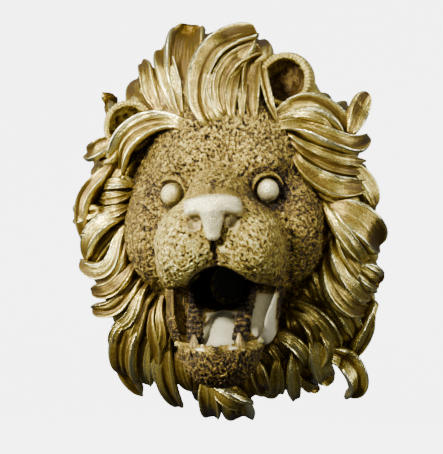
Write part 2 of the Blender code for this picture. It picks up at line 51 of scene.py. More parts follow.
# Driving dimensions of the casting, in millimetres, as in the solid
OVERALL = (115.0, 85.0, 150.0)  # width, projection from the wall, height
WATERWAY_RADIUS = 7.0
WATERWAY_HEIGHT = -21.5  # below the middle of the back, once fitted
MM = 0.001

# Fineness of the skins
FACE_VOXEL = 0.40
EAR_VOXEL = 0.5
LOCK_RINGS = 60
LOCK_TOP_POINTS = 37
RIM_RINGS = 30
RIM_TOP_POINTS = 15
LOCK_UNDER_POINTS = 5
COARSE_RINGS = 24
COARSE_TOP_POINTS = 11
SKIN_BAND = 3.0

# Box of the working frame that holds the face, and where its hidden back is left off
FACE_LOW = (-43.0, 11.0, -62.0)
FACE_HIGH = (44.5, 90.0, 50.0)
FACE_BACK = 24.0
FACE_BORE_REACH = 13.0
FACE_STEP = 0.2  # how far its points may be drawn onto the exact form
FACE_CUTS = (14.0, -14.0)  # heights at which the face is parted
FACE_PARTS = ("upper_face", "muzzle", "jaw")

# Body under the mane, and the combing on it
BODY_VOXEL = 0.8
BODY_LOW = (-58.0, -2.0, -70.0)
BODY_HIGH = (58.0, 52.0, 68.0)
BODY_COVERED = 2.5  # what lies deeper than this in the face is left off
BODY_OPEN = 0.5  # so is what lies within the mouth and the throat, or this near to them
BODY_BACK = 1.0  # but nothing of the flat back, up to this far from the wall
COMB_COUNT = 64
COMB_CENTRE_UP = -4
COMB_SWIRL = 0.05
COMB_DEPTH = 1.3

# Fur of the face: grain size, how far it is drawn out along the lie of the hair, and its relief
FUR_GRAIN = 0.48
FUR_STEPS = (-0.25, 0.15)
FUR_CONTRAST = 1.76
FUR_RELIEF = 0.36
MUZZLE_PAINTED_LIGHT = 0.30  # painted light: how much paler the muzzle's fur is painted, less on the right
GUM_BEAD = 1.6  # from one small tooth of the gums to the next
GUM_RELIEF = 0.45
EAR_SPARE = 1.2  # how far what lies behind an ear's dish is kept away from it
EAR_RELIEF = 0.45
EAR_UNWASHED_AND_LIT = (0.85, 0.3)  # how far the wash of the hollows is lifted in the left and the right ear's dish; the right ear keeps more of it, as painted shade
EAR_TONE = (0.55, 0.12)  # and how pale the fur is in each, the right ear's painted far darker as shade
EAR_NOTCHES = 44
EAR_NOTCH_DEPTH = 0.18
EAR_TUFT = 1.1
EAR_MARGIN = 2.5
FUR_CENTRE = (0.0, 74.0, 6.0)

# Strands of the locks
STRAND_WIDTH = 3.9
STRAND_SPREAD = (0.45, 1.7)  # the narrowest and widest, as shares of that width
GROOVE_DEPTH = 0.95
GROOVE_HALF_WIDTH = 0.48
STRAND_BULGE = 0.08
RIDGE_SHARE = 0.55  # of the lines between strands, how many stand up as ridges
RIDGE_HEIGHT = 0.7
EDGE_PLACE = 0.80  # where a lock's raised edges run, as a share of its half-width
EDGE_WIDTH = 0.10
EDGE_HEIGHT = 0.8
CUP_DEPTH = 0.5  # how far the face of a blunt lock is hollowed at its tip, as a share of its crown
CUP_SHADE = 0.45
FACE_HOLLOW = 0.2  # how far the face of every lock is hollowed, in the same way

# Where the occlusion of the hollows is read, out from the skin
HOLLOW_VOXEL = 0.9
HOLLOW_BAND = 8
HOLLOW_REACHES = (1.0, 2.4, 5.0)

# Rounded masses of the head. Those off the middle are mirrored. Pitch tips the front end down, in degrees.
Mass = namedtuple("Mass", "centre radii pitch blend")
MASSES = {
    "skull": Mass((0, 14, 6), (36, 40, 46), 0, 6),
    "cheekbone": Mass((23.5, 36, -4), (12.5, 15, 17), 0, 8),
    "brow": Mass((12.5, 45.5, 19), (10, 8, 5), 0, 5),
    "bridge of the nose": Mass((0, 57, 9.6), (9.2, 24, 8.4), 12, 4),
    "muzzle": Mass((0, 56, -3.5), (20, 23, 14), 0, 6),
    "upper lip": Mass((9.8, 66, -6.5), (11.2, 14.5, 12.3), 0, 3),
    "corner of the lip": Mass((15.8, 55, -13.5), (6.5, 12, 8.8), 0, 4),
    "throat": Mass((0, 16, -32), (23, 24, 26), 0, 6),
    "web of the jaw": Mass((14.8, 38, -29), (5.8, 13, 14), 10, 5),
    "chin": Mass((0, 54.5, -40.5), (14.6, 15.5, 14.4), 0, 3),
}
HOLLOWS = {
    "arch of the lips": Mass((0, 67, -23.5), (11.5, 34, 10.3), 0, 1.2),
    "throat passage": Mass((0, 36, -22.3), (10.6, 26, 8.5), 0, 1.5),
    "eye socket": Mass((17.3, 56, 10.1), (5.9, 8.2, 5.6), 0, 0.8),
    "nostril": Mass((6.4, 82, 0.8), (2.7, 5, 2.6), 0, 0.6),
    "groove under the nose": Mass((0, 84, -9.5), (1.2, 8.5, 7.2), 0, 1.5),
}
Block = namedtuple("Block", "centre half rounding blend")
MOUTH = Block((0, 70, -30), (14, 27, 9.6), 3, 1.0)
MOUTH_FLARE = 0.017  # how much wider the mouth grows for each millimetre up from its floor
MOUTH_SWEEP = 0.45  # how far its back comes forward for each millimetre off the middle
MOUTH_SWEEP_START = 10.0
NOSE_PAD = Block((0, 79.2, 6.5), (9.3, 4.3, 2.7), 2.0, 1.2)
NOSE_SWEEP = 0.03  # the ends of the pad lie back and hang down, by this times the square of the way out
NOSE_DROOP = 0.012
FEATURES = {
    "eyeball": Mass((16.9, 50.9, 10.1), (3.7, 3.9, 3.7), 0, 0.2),
    "tongue": Mass((0, 50, -38.1), (7.2, 17, 4.2), 20, 1),
}

# Tapered rods of the head, mirrored as the masses are: start, end, radius at each
Rod = namedtuple("Rod", "start end start_radius end_radius blend")
RODS = {
    "stem of the nose": Rod((0, 80.4, 4.4), (0.3, 80.6, -2.8), 4.3, 2.0, 1.2),
    "gum": Rod((7.6, 61, -37.5), (9.8, 45, -22), 2.5, 2.4, 0.8),
    "lower lip": Rod((0, 71.0, -39.9), (14.6, 58.5, -39.2), 0.95, 0.8, 0.3),
    "canine tooth": Rod((7.8, 64.8, -39), (7.7, 65.3, -36.0), 1.7, 0.6, 0.4),
    "inner incisor": Rod((1.6, 68.6, -39.8), (1.6, 68.6, -39.2), 0.9, 0.6, 0.3),
    "outer incisor": Rod((4.6, 67.8, -39.8), (4.6, 67.8, -39.0), 0.9, 0.6, 0.3),
}
TEETH = ("canine tooth", "inner incisor", "outer incisor")
EyeLid = namedtuple("EyeLid", "centre faces radius low_tube high_tube blend")
EYELID = EyeLid((17.1, 51.2, 10.2), (0.36, 0.93, 0.05), 5.5, -0.6, 0.7, 0.9)

# The face is turned a little about the nose, and its jaw hangs back towards the left, in degrees and mm
FACE_TURN = 3.4
FACE_PIVOT_UP = 10.0
JAW_SWING = -1.6
JAW_SWING_TOP = -20.0
JAW_SWING_BOTTOM = -34.0

# Ears: centre of the ball that each is hollowed from, its radius, and the way that the cup faces
Ear = namedtuple("Ear", "centre radius faces")
EARS = (
    Ear((-35.8, 27.5, 32.2), 9.6, (0.05, 0.95, 0.12)),
    Ear((21.8, 21.5, 49.8), 10.4, (-0.16, 0.95, 0.02)),
)
EAR_DISH_RADIUS = 9.6
EAR_DISH_OFFSET = 7.6
EAR_RIM = 1.3
EAR_BLEND = 2.0
EAR_EDGE = 1.0
EAR_RIM_BLEND = 0.8
EAR_CLEARANCE = 2.0  # no lock of the rim comes nearer to an ear's ball

# The bed that the locks lie on: a low dome that stands further from the wall at its sides, and the skull
# where that stands further out
DOME_EDGE_FORWARD = 8.0
DOME_SIDE_FORWARD = 14.0
DOME_RISE = 27.0
DOME_CENTRE_UP = -1.0
DOME_HALF_WIDTH = 58.0
DOME_HALF_HEIGHT = 73.0
BED_BLEND = 10.0
SKULL_SKIRT = 0.12  # near the skull's edge, by this share, its slope runs on straight

# The body under the mane: it follows the bed at a depth, within two ellipses that are melted together
Oval = namedtuple("Oval", "right up half_width half_height")
BODY_OVALS = (Oval(0, -1, 51, 65), Oval(12, -18, 45, 45))
BODY_DEPTH = 3.5
BODY_OVAL_BLEND = 6.0
BODY_EDGE = 6.0

# Locks of the mane as they look from the front. Root and tip are (right, up) in mm, and width is the widest
# place. Bend is how far the lock turns in all, in degrees and to the left where positive. Lift raises it off
# the bed, scoop hollows its face and blunt rounds its tip. Wave is its swing there and back, curl the hook
# at its tip, and roll how far its face tips to the left of its run, all in degrees. Settle is the share of
# the bed's height that the tip loses towards the wall.
LOCK_FIELDS = "root tip width bend lift scoop blunt wave curl roll settle"
Lock = namedtuple("Lock", LOCK_FIELDS, defaults=(0, 0, 0, 0))
CREST = (
    Lock((-6, 34.5), (9.5, 68.5), 9.5, -125, 4, 0.1, 2.4, roll=-25),
    Lock((-3, 35), (4.5, 66), 4.5, -115, 3, 0.1, 0.5, roll=-15),
    Lock((-1, 35.5), (8.5, 64.5), 4, -118, 2.5, 0.1, 0.5, roll=-10),
    Lock((-13.2, 37.5), (-16.5, 72), 15, -15, 0, 1.35, 1.8, curl=-15, roll=-15),
    Lock((-16, 37.5), (-27, 62), 8.5, -12, 1, 0.3, 1.4, curl=15, roll=-20),
    Lock((-19, 38.5), (-26.5, 55), 4.5, -10, 1.5, 0.1, 0.5, curl=-10),
    Lock((-21.5, 38.5), (-31, 55), 5.5, -10, 1, 0.3, 0.6, curl=10),
    Lock((-24.5, 38), (-35, 57), 6.5, -20, 1, 0.6, 0.9, curl=60, roll=10),
    Lock((0.5, 37.5), (11.5, 61.5), 6.5, -118, 3, 0.3, 2.2, roll=-15),
    Lock((3.2, 36), (4.8, 55), 4.8, -25, 3, 0.3, 0.2, curl=-20),
    Lock((6.8, 36.5), (6.4, 52), 3.6, -15, 2, 0.1, 0.2),
    Lock((10.5, 36.5), (10.3, 58), 7.5, -18, 2, 1.2, 0.8, curl=-30),
    Lock((18.3, 36), (12.3, 57.5), 3.6, -15, 5, 0.1, 0.5, roll=20),
    Lock((-3, 42), (7, 66), 13, -30, -3, 0, 0.8),
)
RIGHT_SIDE = (
    Lock((19.5, 37), (44.5, 27.5), 10, -125, 3, 1.2, 0.6, roll=20),
    Lock((20.5, 36), (42.5, 28.5), 3.6, -80, 5.5, 0.1, 0.4),
    Lock((21.5, 33.5), (52, 31.5), 8, -60, 5, 0.9, 0.6, wave=-15, curl=130, roll=20),
    Lock((24.5, 29.5), (51.5, 22), 3.8, 40, 4, 0.2, 0.4),
    Lock((25.5, 27), (52, 18.5), 5, 48, 4, 0.2, 0.4),
    Lock((26.5, 21.5), (52.5, 14), 8, 75, 4.5, 0.5, 0.5),
    Lock((32.5, 12.5), (45.5, 8.5), 4.5, 40, 2, 0.2, 0.3),
    Lock((45.5, 31.5), (52, 46.5), 8.5, -15, 1, 0.4, 0.4, curl=-20),
    Lock((44.5, 20.5), (55, 5.5), 10, -15, -5, 0, 0.3),
    Lock((39, 5.5), (57, -8), 13.5, -40, 2, 0.3, 1),
    Lock((36, 6.5), (53.5, -15.5), 6, 8, 6, 0.1, 0.3, roll=-15),
    Lock((41, -3), (54.5, -23), 5.5, 35, 2, 0.4, 0.4, roll=10),
    Lock((39.5, -6.5), (54, -27), 6.5, 60, 3, 0.3, 0.5, roll=10),
    Lock((37.5, -13), (53, -31), 8.5, 85, 4, 0.3, 0.6, roll=10),
    Lock((48, -15), (57.5, -22), 10, -10, -1, 0.2, 1),
)
LOWER_RIGHT = (
    Lock((33, -17.5), (41, -31), 6, -10, 1, 0.2, 0.4),
    Lock((27.5, -28), (42, -49), 5.5, -75, 4, 0.3, 0.3, roll=-10),
    Lock((27.3, -32), (33.5, -45.5), 6.5, -95, 2.5, 0.2, 0.4),
    Lock((34.3, -34), (31.6, -57), 3.2, -50, 3.5, 0.1, 0.2, wave=25),
    Lock((18.1, -38.5), (31.5, -53), 5.5, -85, 4, 0.2, 0.3),
    Lock((16.7, -42), (21.8, -50), 4, -30, 3.5, 0.2, 0.3),
    Lock((25.9, -48), (27.1, -66.5), 6, 10, 1, 0.3, 0.3),
    Lock((29, -57), (36, -62.5), 4.5, 30, -2, 0.3, 0.6),
    Lock((37, -46), (46, -63.5), 9, -110, 3, 1.0, 1, curl=-70),
    Lock((33, -40), (40, -60), 9, 20, 0, 0.3, 0.6),
    Lock((55, -32.5), (46, -50.5), 7, -15, 0, 0.4, 0.4),
    Lock((38, -24), (50, -42), 8, -25, -1.5, 0.1, 0.5),
    Lock((20, -50), (19.5, -62.5), 7, 5, -0.5, 0.2, 0.5),
)
CHIN = (
    Lock((11.8, -48), (15.8, -62), 6.5, 0, 3, 0.2, 1.2),
    Lock((-3.5, -59), (10.5, -67), 7.5, 15, 5.5, 0.1, 0.5, roll=10),
    Lock((3, -60), (6.5, -74), 12.5, 5, 0, 0.3, 1.2),
    Lock((-6.3, -57), (-5.3, -74.5), 8.5, -5, 3, 1.1, 0.8, wave=5),
    Lock((-16, -46), (-12.5, -63), 6, 25, 2, 0.2, 0.3),
    Lock((-20.5, -40), (-17.5, -71.5), 8.5, 35, 2.5, 0.5, 0.3),
    Lock((-24.5, -44), (-20, -65), 5, 40, 2.5, 0.2, 0.3),
)
LOWER_LEFT = (
    Lock((-29, -32), (-33, -67), 12.5, 80, 2, 0.6, 0.25),
    Lock((-25.5, -32), (-25.5, -61), 5, 30, 4, 0.2, 0.2, wave=20),
    Lock((-27, -42), (-29.5, -62), 8, 20, 0, 0.5, 0.4),
    Lock((-22.5, -29), (-27, -52), 4.5, 0, 5, 0.2, 0.2, wave=25),
    Lock((-27.5, -28.5), (-38.5, -52), 6, 25, 3, 0.2, 0.3, wave=15),
    Lock((-35.5, -36), (-39.5, -50), 4.5, 85, 3, 0.2, 0.3),
    Lock((-29, -24.5), (-42.5, -40.5), 5, -25, 4, 0.2, 0.4, wave=15),
    Lock((-31, -21.5), (-51, -33.5), 6.5, -45, 3, 0.2, 0.6, wave=10),
    Lock((-32, -15), (-50.5, -26.5), 6.5, -45, 4, 0.2, 0.6, wave=10),
)
LEFT_SIDE = (
    Lock((-34.5, -6.5), (-48.5, -23), 6, -10, 3, 0.2, 0.4, wave=25),
    Lock((-35.5, -2.5), (-55, -15.5), 6.5, -10, 3, 0.3, 0.8, wave=35, curl=-80),
    Lock((-36, 1.5), (-51, -16.5), 7, 85, 4, 0.3, 0.4),
    Lock((-34.5, 4.5), (-47, 1.5), 5, -25, 3, 0.1, 0.3),
    Lock((-34.5, 8.5), (-46.5, 7.5), 5, -30, 3, 0.1, 0.3),
    Lock((-34.5, 12), (-46, 11), 4.5, 30, 2, 0.1, 0.3),
    Lock((-46, 2.5), (-57.5, 0.5), 8, 15, 0, 0.3, 1),
    Lock((-42, 19.5), (-50, -13), 6.5, 30, 2, 0.4, 0.5, wave=-20),
    Lock((-16.5, 33.5), (-38.5, 12), 10, 125, 7, 0.9, 0.6, roll=15),
    Lock((-17, 36), (-31.5, 33.5), 3.5, 45, 4, 0.1, 0.3),
    Lock((-39, 28.5), (-53.5, 23.5), 7.5, -20, 2, 0.7, 1, curl=-30),
    Lock((-39.5, 26.5), (-46.5, 22), 4.5, -150, 3, 0.1, 0.5),
    Lock((-44, 36), (-49.5, 45.6), 4, -10, -9, 0.2, 1, curl=25),
    Lock((-36, 18), (-44, 2), 9, 30, -2, 0.1, 0.4),
    Lock((-35.5, 4), (-48.5, -10), 7, 50, -1, 0.2, 0.5),
    Lock((-38, -4), (-50, -19), 6, 30, -1, 0.2, 0.5),
)
MANE = CREST + RIGHT_SIDE + LOWER_RIGHT + CHIN + LOWER_LEFT + LEFT_SIDE

# Rings of plain locks that run from under those above back to the wall
Ring = namedtuple("Ring", "count root_share tip_share width lift settle turn")
RIM = (
    Ring(34, 0.66, 0.965, 12.0, -4.0, 0.65, 35.0),
    Ring(30, 0.70, 0.90, 13.0, -10.0, 0.75, -30.0),
)

ROOT_LENGTH = 4.0  # how far a lock starts before its root, under the skin
ROOT_DEPTH = 4.0
LOCK_SINK = 7.0  # how deep the underside of a lock lies at its root, and at its tip
TIP_SINK = 2.0
LOCK_HEIGHT = 0.42  # height of its crown over its widest half-width
TIP_DROP = 5.0

BORE_RIGHT = 0.6  # the waterway's place before the fit moves everything
BORE_UP = WATERWAY_HEIGHT - 1.9
WATERWAY = Rod((BORE_RIGHT, -10, BORE_UP), (BORE_RIGHT, 40, BORE_UP), WATERWAY_RADIUS, WATERWAY_RADIUS, 0.5)
WHOLE_VOXEL = 1.0
WHOLE_LOW = (-56.0, -2.0, -69.0)
WHOLE_HIGH = (58.0, 90.0, 68.0)
THROAT = Oval(0.6, -22.0, 11.3, 8.8)  # what is painted black round the waterway, as painted shade of the deep throat

# Where parts of the skins fade in, from nothing to whole: in mm off the face's middle line, forward, up along
# it, away from a form or along an ear's axis, and for the throat as a share of its oval
FADES = {
    "right side": (-2, 2),
    "bridge, round the nose": (5.5, 1.5),
    "bridge, over the nose": (8.0, 9.5),
    "crease": (1.3, 0.3),
    "muzzle": (5, 0),
    "cheek": (12, 26),
    "socket": (9.5, 5.0),
    "chin, down": (-40.5, -42),
    "chin, forward": (38, 44),
    "inside": (1.2, 0.4),
    "web": (-19, -23),
    "panel, inner edge": (13.0, 14.2),
    "panel, outer edge": (20, 18.5),
    "panel, down": (-23, -26),
    "floor, down": (-30.5, -31.5),
    "floor, inward": (8, 6),
    "black, round the throat": (1.05, 0.88),
    "black, back": (69, 64),
    "ear's dish": (-9.5, -8),
    "ear's notches": (-4, -1),
    "comb": (1.0, 4.0),
}
NEAR = 0.15  # what lies no further than this from a form is wholly on it
CREASE_BACK = 70
FUR_LEAST = 0.1  # darker fur than this isn't made paler on the muzzle
REGIONS = {
    "crest": CREST,
    "mane_right": RIGHT_SIDE,
    "mane_lower_right": LOWER_RIGHT,
    "mane_lower_left": CHIN + LOWER_LEFT,
    "mane_left": LEFT_SIDE,
}


# One skin, with how high and pale each of its points is painted, how far the wash is lifted there, for clean
# pale paint and for painted light, and where each lies on its lock
Skin = namedtuple("Skin", "points quads height pale clean hair_place", defaults=(0, 0, None))


def unit(vector):
    return np.array(vector) / np.linalg.norm(vector)


def smooth_step(low, high, value):
    share = np.clip((value - low) / (high - low), 0, 1)
    return share * share * (3 - 2 * share)


def fade(name, value):
    return smooth_step(*FADES[name], value)


def joined(first, second, blend):
    """Union of two signed distances, with a fillet of about the blend's size."""
    share = np.clip(0.5 + 0.5 * (second - first) / blend, 0, 1)
    return second * (1 - share) + first * share - blend * share * (1 - share)


def carved(solid, tool, blend):
    return -joined(-solid, tool, blend)


def mass_field(point, mass):
    """Nearly the signed distance to an ellipsoid whose front end is pitched down."""
    side, forward, up = (p - c for p, c in zip(point, mass.centre))
    if mass.pitch:
        cos, sin = math.cos(math.radians(mass.pitch)), math.sin(math.radians(mass.pitch))
        forward, up = forward * cos - up * sin, forward * sin + up * cos
    scaled = [d / r for d, r in zip((side, forward, up), mass.radii)]
    length = np.sqrt(sum(s * s for s in scaled))
    steepness = np.sqrt(sum((s / r) ** 2 for s, r in zip(scaled, mass.radii)))
    return length * (length - 1) / np.maximum(steepness, 1e-6)


def rod_field(point, rod):
    start, end = np.array(rod.start, float), np.array(rod.end, float)
    run = end - start
    offset = [p - c for p, c in zip(point, start)]
    share = np.clip(sum(o * r for o, r in zip(offset, run)) / run.dot(run), 0, 1)
    distance = np.sqrt(sum((o - share * r) ** 2 for o, r in zip(offset, run)))
    return distance - (rod.start_radius + share * (rod.end_radius - rod.start_radius))


def ball_field(point, centre, radius):
    return np.sqrt(sum((p - c) ** 2 for p, c in zip(point, centre))) - radius


def ring_place(point, middle, faces):
    """A point's offset from a ring's middle, and how far it is along the ring's axis and out from it."""
    offset = [p - c for p, c in zip(point, middle)]
    along = sum(o * n for o, n in zip(offset, faces))
    return offset, along, np.sqrt(np.maximum(sum(o * o for o in offset) - along**2, 1e-6))


def ear_rim(ear):
    """The way that an ear faces, the middle of its rim's circle and the circle's radius."""
    faces = unit(ear.faces)
    along = (ear.radius**2 - EAR_DISH_RADIUS**2 + EAR_DISH_OFFSET**2) / (2 * EAR_DISH_OFFSET)
    return faces, np.array(ear.centre) + faces * along, math.sqrt(ear.radius**2 - along**2)


def ear_dish(point, ear, spare=0.0):
    centre = np.array(ear.centre) + unit(ear.faces) * EAR_DISH_OFFSET
    return ball_field(point, centre, EAR_DISH_RADIUS + spare)


def clear_of_ears(solid, point):
    """A form without what would fill an ear's dish."""
    for ear in EARS:
        solid = carved(solid, ear_dish(point, ear, EAR_SPARE), EAR_EDGE)
    return solid


def ear_field(point, ear):
    """A dish with a thick rim, open the way that it faces."""
    faces, middle, across = ear_rim(ear)
    cup = carved(ball_field(point, ear.centre, ear.radius), ear_dish(point, ear), EAR_EDGE)
    _, along, out = ring_place(point, middle, faces)
    return joined(cup, np.hypot(out - across + EAR_RIM / 2, along) - EAR_RIM, EAR_RIM_BLEND)


def body_field(right, forward, up):
    """Roughly the signed distance to the body under the mane, which is flat at the wall."""
    height = 0.8 * (forward - bed_forward(right, up) + BODY_DEPTH)
    side = None
    for oval in BODY_OVALS:
        reach = np.hypot((right - oval.right) / oval.half_width, (up - oval.up) / oval.half_height)
        field = (reach - 1) * min(oval.half_width, oval.half_height)
        side = field if side is None else joined(side, field, BODY_OVAL_BLEND)
    return clear_of_ears(-joined(-height, -side, BODY_EDGE), (right, forward, up))


def eyelid_field(point):
    """A ring round the eye, thickest over it."""
    offset, along, out = ring_place(point, EYELID.centre, unit(EYELID.faces))
    tube = EYELID.low_tube + (EYELID.high_tube - EYELID.low_tube) * (0.5 + 0.5 * offset[2] / out)
    return np.hypot(out - EYELID.radius, along) - tube


def mouth_field(point):
    """The open mouth between the lips, wider towards the top and swept back in the middle."""
    off, forward, along = point
    floor = MOUTH.centre[2] - MOUTH.half[2]
    off = off / (1 + MOUTH_FLARE * np.maximum(along - floor, 0))
    forward = forward - MOUTH_SWEEP * (off - MOUTH_SWEEP_START)
    return block_field((off, forward, along), MOUTH)


def openings_field(point):
    """Within the open mouth, the arch between the lips and the passage behind them."""
    hollows = [mass_field(point, HOLLOWS[name]) for name in ("arch of the lips", "throat passage")]
    return np.minimum.reduce([mouth_field(point), *hollows])


def nose_field(point):
    off, forward, along = point
    return block_field((off, forward + NOSE_SWEEP * off**2, along + NOSE_DROOP * off**2), NOSE_PAD)


def face_point(right, forward, up):
    """A place in the face's own halves: how far off its middle line, forward, and up along it."""
    cos, sin = math.cos(math.radians(FACE_TURN)), math.sin(math.radians(FACE_TURN))
    rise = up - FACE_PIVOT_UP
    along = rise * cos - right * sin + FACE_PIVOT_UP
    off = right * cos + rise * sin - JAW_SWING * smooth_step(JAW_SWING_TOP, JAW_SWING_BOTTOM, along)
    return np.abs(off), forward, along


def bed_forward(right, up):
    """How far forward of the wall the bed of the mane stands at a place seen from the front."""
    skull = MASSES["skull"]
    reach = (right / DOME_HALF_WIDTH) ** 2 + ((up - DOME_CENTRE_UP) / DOME_HALF_HEIGHT) ** 2
    edge = DOME_EDGE_FORWARD + DOME_SIDE_FORWARD * np.clip(np.abs(right) / DOME_HALF_WIDTH, 0, 1) ** 2
    dome = edge + DOME_RISE * np.sqrt(np.clip(1 - reach, 0, 1))
    reach = (right / skull.radii[0]) ** 2 + ((up - skull.centre[2]) / skull.radii[2]) ** 2
    inward = 1 - reach
    skirt = (inward + SKULL_SKIRT) / (2 * math.sqrt(SKULL_SKIRT))
    front = np.where(inward > SKULL_SKIRT, np.sqrt(np.maximum(inward, SKULL_SKIRT)), skirt)
    front = skull.centre[1] + skull.radii[1] * front
    return -joined(-dome, -front, BED_BLEND)


def block_field(point, block):
    """Signed distance to a box with rounded edges."""
    over = [np.abs(p - c) - h + block.rounding for p, c, h in zip(point, block.centre, block.half)]
    outside = np.sqrt(sum(np.maximum(o, 0) ** 2 for o in over))
    inside = np.minimum(np.maximum(np.maximum(over[0], over[1]), over[2]), 0)
    return outside + inside - block.rounding


def lock_line(lock, share):
    """Middle line of a lock, seen from the front, as complex numbers right + up * i."""
    hook = np.clip((share - 0.6) / 0.4, 0, 1) ** 2
    heading = np.radians(lock.bend * share + lock.wave * np.sin(2 * np.pi * share) + lock.curl * hook)
    stride = np.exp(1j * heading)
    line = np.concatenate([[0], np.cumsum((stride[1:] + stride[:-1]) / 2)])
    root, tip = complex(*lock.root), complex(*lock.tip)
    way = (tip - root) / line[-1]
    buried = -ROOT_LENGTH * way / abs(way)
    return np.concatenate([[root + buried, root + buried / 2], root + way * line])


def lock_width(lock, share):
    """Half-width along a lock: slim at the root, full past the middle, then pointed or blunt."""
    swell = 0.45 + 0.55 * np.sin(np.pi / 2 * np.clip(share / 0.5, 0, 1))
    past = np.clip((share - 0.5) / 0.5, 0, 1)
    power = 1.5 + 3.0 * lock.blunt
    taper = (1 - past**power) ** (1.0 / (1.2 + 0.8 * lock.blunt))
    return lock.width / 2 * swell * np.maximum(taper, 0.10)


def rim_locks():
    for ring in RIM:
        for k in range(ring.count):
            angle = 2 * math.pi * (k + 0.5) / ring.count
            way = (DOME_HALF_WIDTH * math.cos(angle), DOME_HALF_HEIGHT * math.sin(angle))
            root = tuple(w * ring.root_share for w in way)
            tip = tuple(w * (ring.tip_share - 0.03 * (k % 3)) for w in way)
            middle = tuple((a + b) / 2 for a, b in zip(root, tip))
            if any(
                math.dist(place, (ear.centre[0], ear.centre[2])) < ear.radius + EAR_CLEARANCE
                for ear in EARS
                for place in (middle, tip)
            ):
                continue
            bend = ring.turn if k % 4 else -ring.turn
            yield Lock(root, tip, ring.width, bend, ring.lift, 0.2, 0.5, settle=ring.settle)


def skin(field, low, high, voxel):
    """Points and outward quads where a signed distance is zero, within a box."""
    axes = [np.arange(a, b, voxel, dtype=np.float32) for a, b in zip(low, high)]
    right, forward, up = np.meshgrid(*axes, indexing="ij", sparse=True)
    grid = openvdb.FloatGrid(SKIN_BAND)
    grid.copyFromArray(np.clip(field(right, forward, up), -SKIN_BAND, SKIN_BAND).astype(np.float32))
    points, _, quads = grid.convertToPolygons(isovalue=0.0, adaptivity=0.0)
    return points * voxel + np.array(low, np.float32), quads.astype(np.int64)


def vertex_normals(points, quads):
    a, b, c, d = (points[quads[:, k]] for k in range(4))
    face = np.cross(c - a, d - b)
    total = np.stack(
        [sum(np.bincount(quads[:, k], face[:, axis], len(points)) for k in range(4)) for axis in range(3)],
        axis=1,
    )
    return total / np.maximum(np.linalg.norm(total, axis=1), 1e-9)[:, None]


def kept(points, quads, keep):
    """The quads that are kept, with only the points that they use."""
    quads = quads[keep]
    used = np.unique(quads)
    place = np.zeros(len(points), np.int64)
    place[used] = np.arange(len(used))
    return points[used], place[quads]


def corners_of(place, table):
    """Linear interpolation in a table of values, whose far ends meet."""
    cell = np.floor(place).astype(np.int64)
    share = place - cell
    size = np.array(table.shape)
    total = 0
    for corner in itertools.product((0, 1), repeat=3):
        weight = np.prod(np.where(corner, share, 1 - share), axis=1)
        total = total + weight * table[tuple(((cell + corner) % size).T)]
    return total


def grain(points, size, seed):
    """Random values, about -1 to 1, that change over the given size."""
    table = np.random.default_rng(seed).uniform(-1, 1, (64, 64, 64))
    return corners_of(points / size, table)


def lock_form(lock, rings, top_points, relief):
    """One closed lock: points (rings, around, 3), how pale its strands are, and each point's place on it."""
    share = np.linspace(0, 1, rings - 2)
    line = lock_line(lock, share)
    right, up = line.real, line.imag
    buried = np.concatenate([[1, 0.5], np.zeros(rings - 2)])
    share = np.concatenate([[0, 0], share])
    rise = lock.lift * np.sin(np.pi * np.clip(share * 0.9 + 0.08, 0, 1))
    forward = bed_forward(right, up) * (1 - lock.settle * share**2)
    forward += rise - TIP_DROP * share**3 - ROOT_DEPTH * buried
    centre = np.stack([right, forward, up], axis=1)
    tangent = np.gradient(centre, axis=0)
    tangent /= np.linalg.norm(tangent, axis=1)[:, None]
    outward = np.stack([right / DOME_HALF_WIDTH, np.full_like(right, 1.1), up / DOME_HALF_HEIGHT], axis=1)
    across = np.cross(outward, tangent)
    across /= np.linalg.norm(across, axis=1)[:, None]
    normal = np.cross(tangent, across)
    roll = np.radians(lock.roll) * np.sin(np.pi * share)[:, None]
    cos, sin = np.cos(roll), np.sin(roll)
    across, normal = across * cos + normal * sin, normal * cos - across * sin
    half = lock_width(lock, share)[:, None]
    side = np.sin(np.linspace(-np.pi / 2, np.pi / 2, top_points))[None, :]
    cup = CUP_DEPTH * lock.blunt * smooth_step(0.55, 0.9, share)[:, None]
    hollow = np.minimum(FACE_HOLLOW + 0.7 * lock.scoop + cup, 1.1)
    crown = np.sqrt(1 - side**2) * (1 - hollow * (1 - side**2))
    under = np.linspace(1, -1, LOCK_UNDER_POINTS + 2)[None, 1:-1]
    sink = (LOCK_SINK + (TIP_SINK - LOCK_SINK) * share)[:, None] * np.minimum(half / 2, 1)
    strand, height = strand_relief(lock, share, side, half)
    top_height = crown * half * 2 * LOCK_HEIGHT + strand * relief * np.minimum(half / 2, 1)
    sides = np.concatenate([side * half, under * half * 0.8], axis=1)
    heights = np.concatenate([top_height, np.broadcast_to(-sink, (rings, LOCK_UNDER_POINTS))], axis=1)
    points = centre[:, None] + across[:, None] * sides[:, :, None] + normal[:, None] * heights[:, :, None]
    height = np.concatenate([height, np.zeros((rings, LOCK_UNDER_POINTS))], axis=1)
    length = np.concatenate([[0], np.cumsum(np.linalg.norm(np.diff(centre, axis=0), axis=1))])
    seed = (lock.root[0] * 7.3 + lock.root[1] * 3.1) % 50
    along = np.broadcast_to(length[:, None], sides.shape)
    return points, height, np.stack([sides, along, np.full_like(sides, seed)], axis=2)


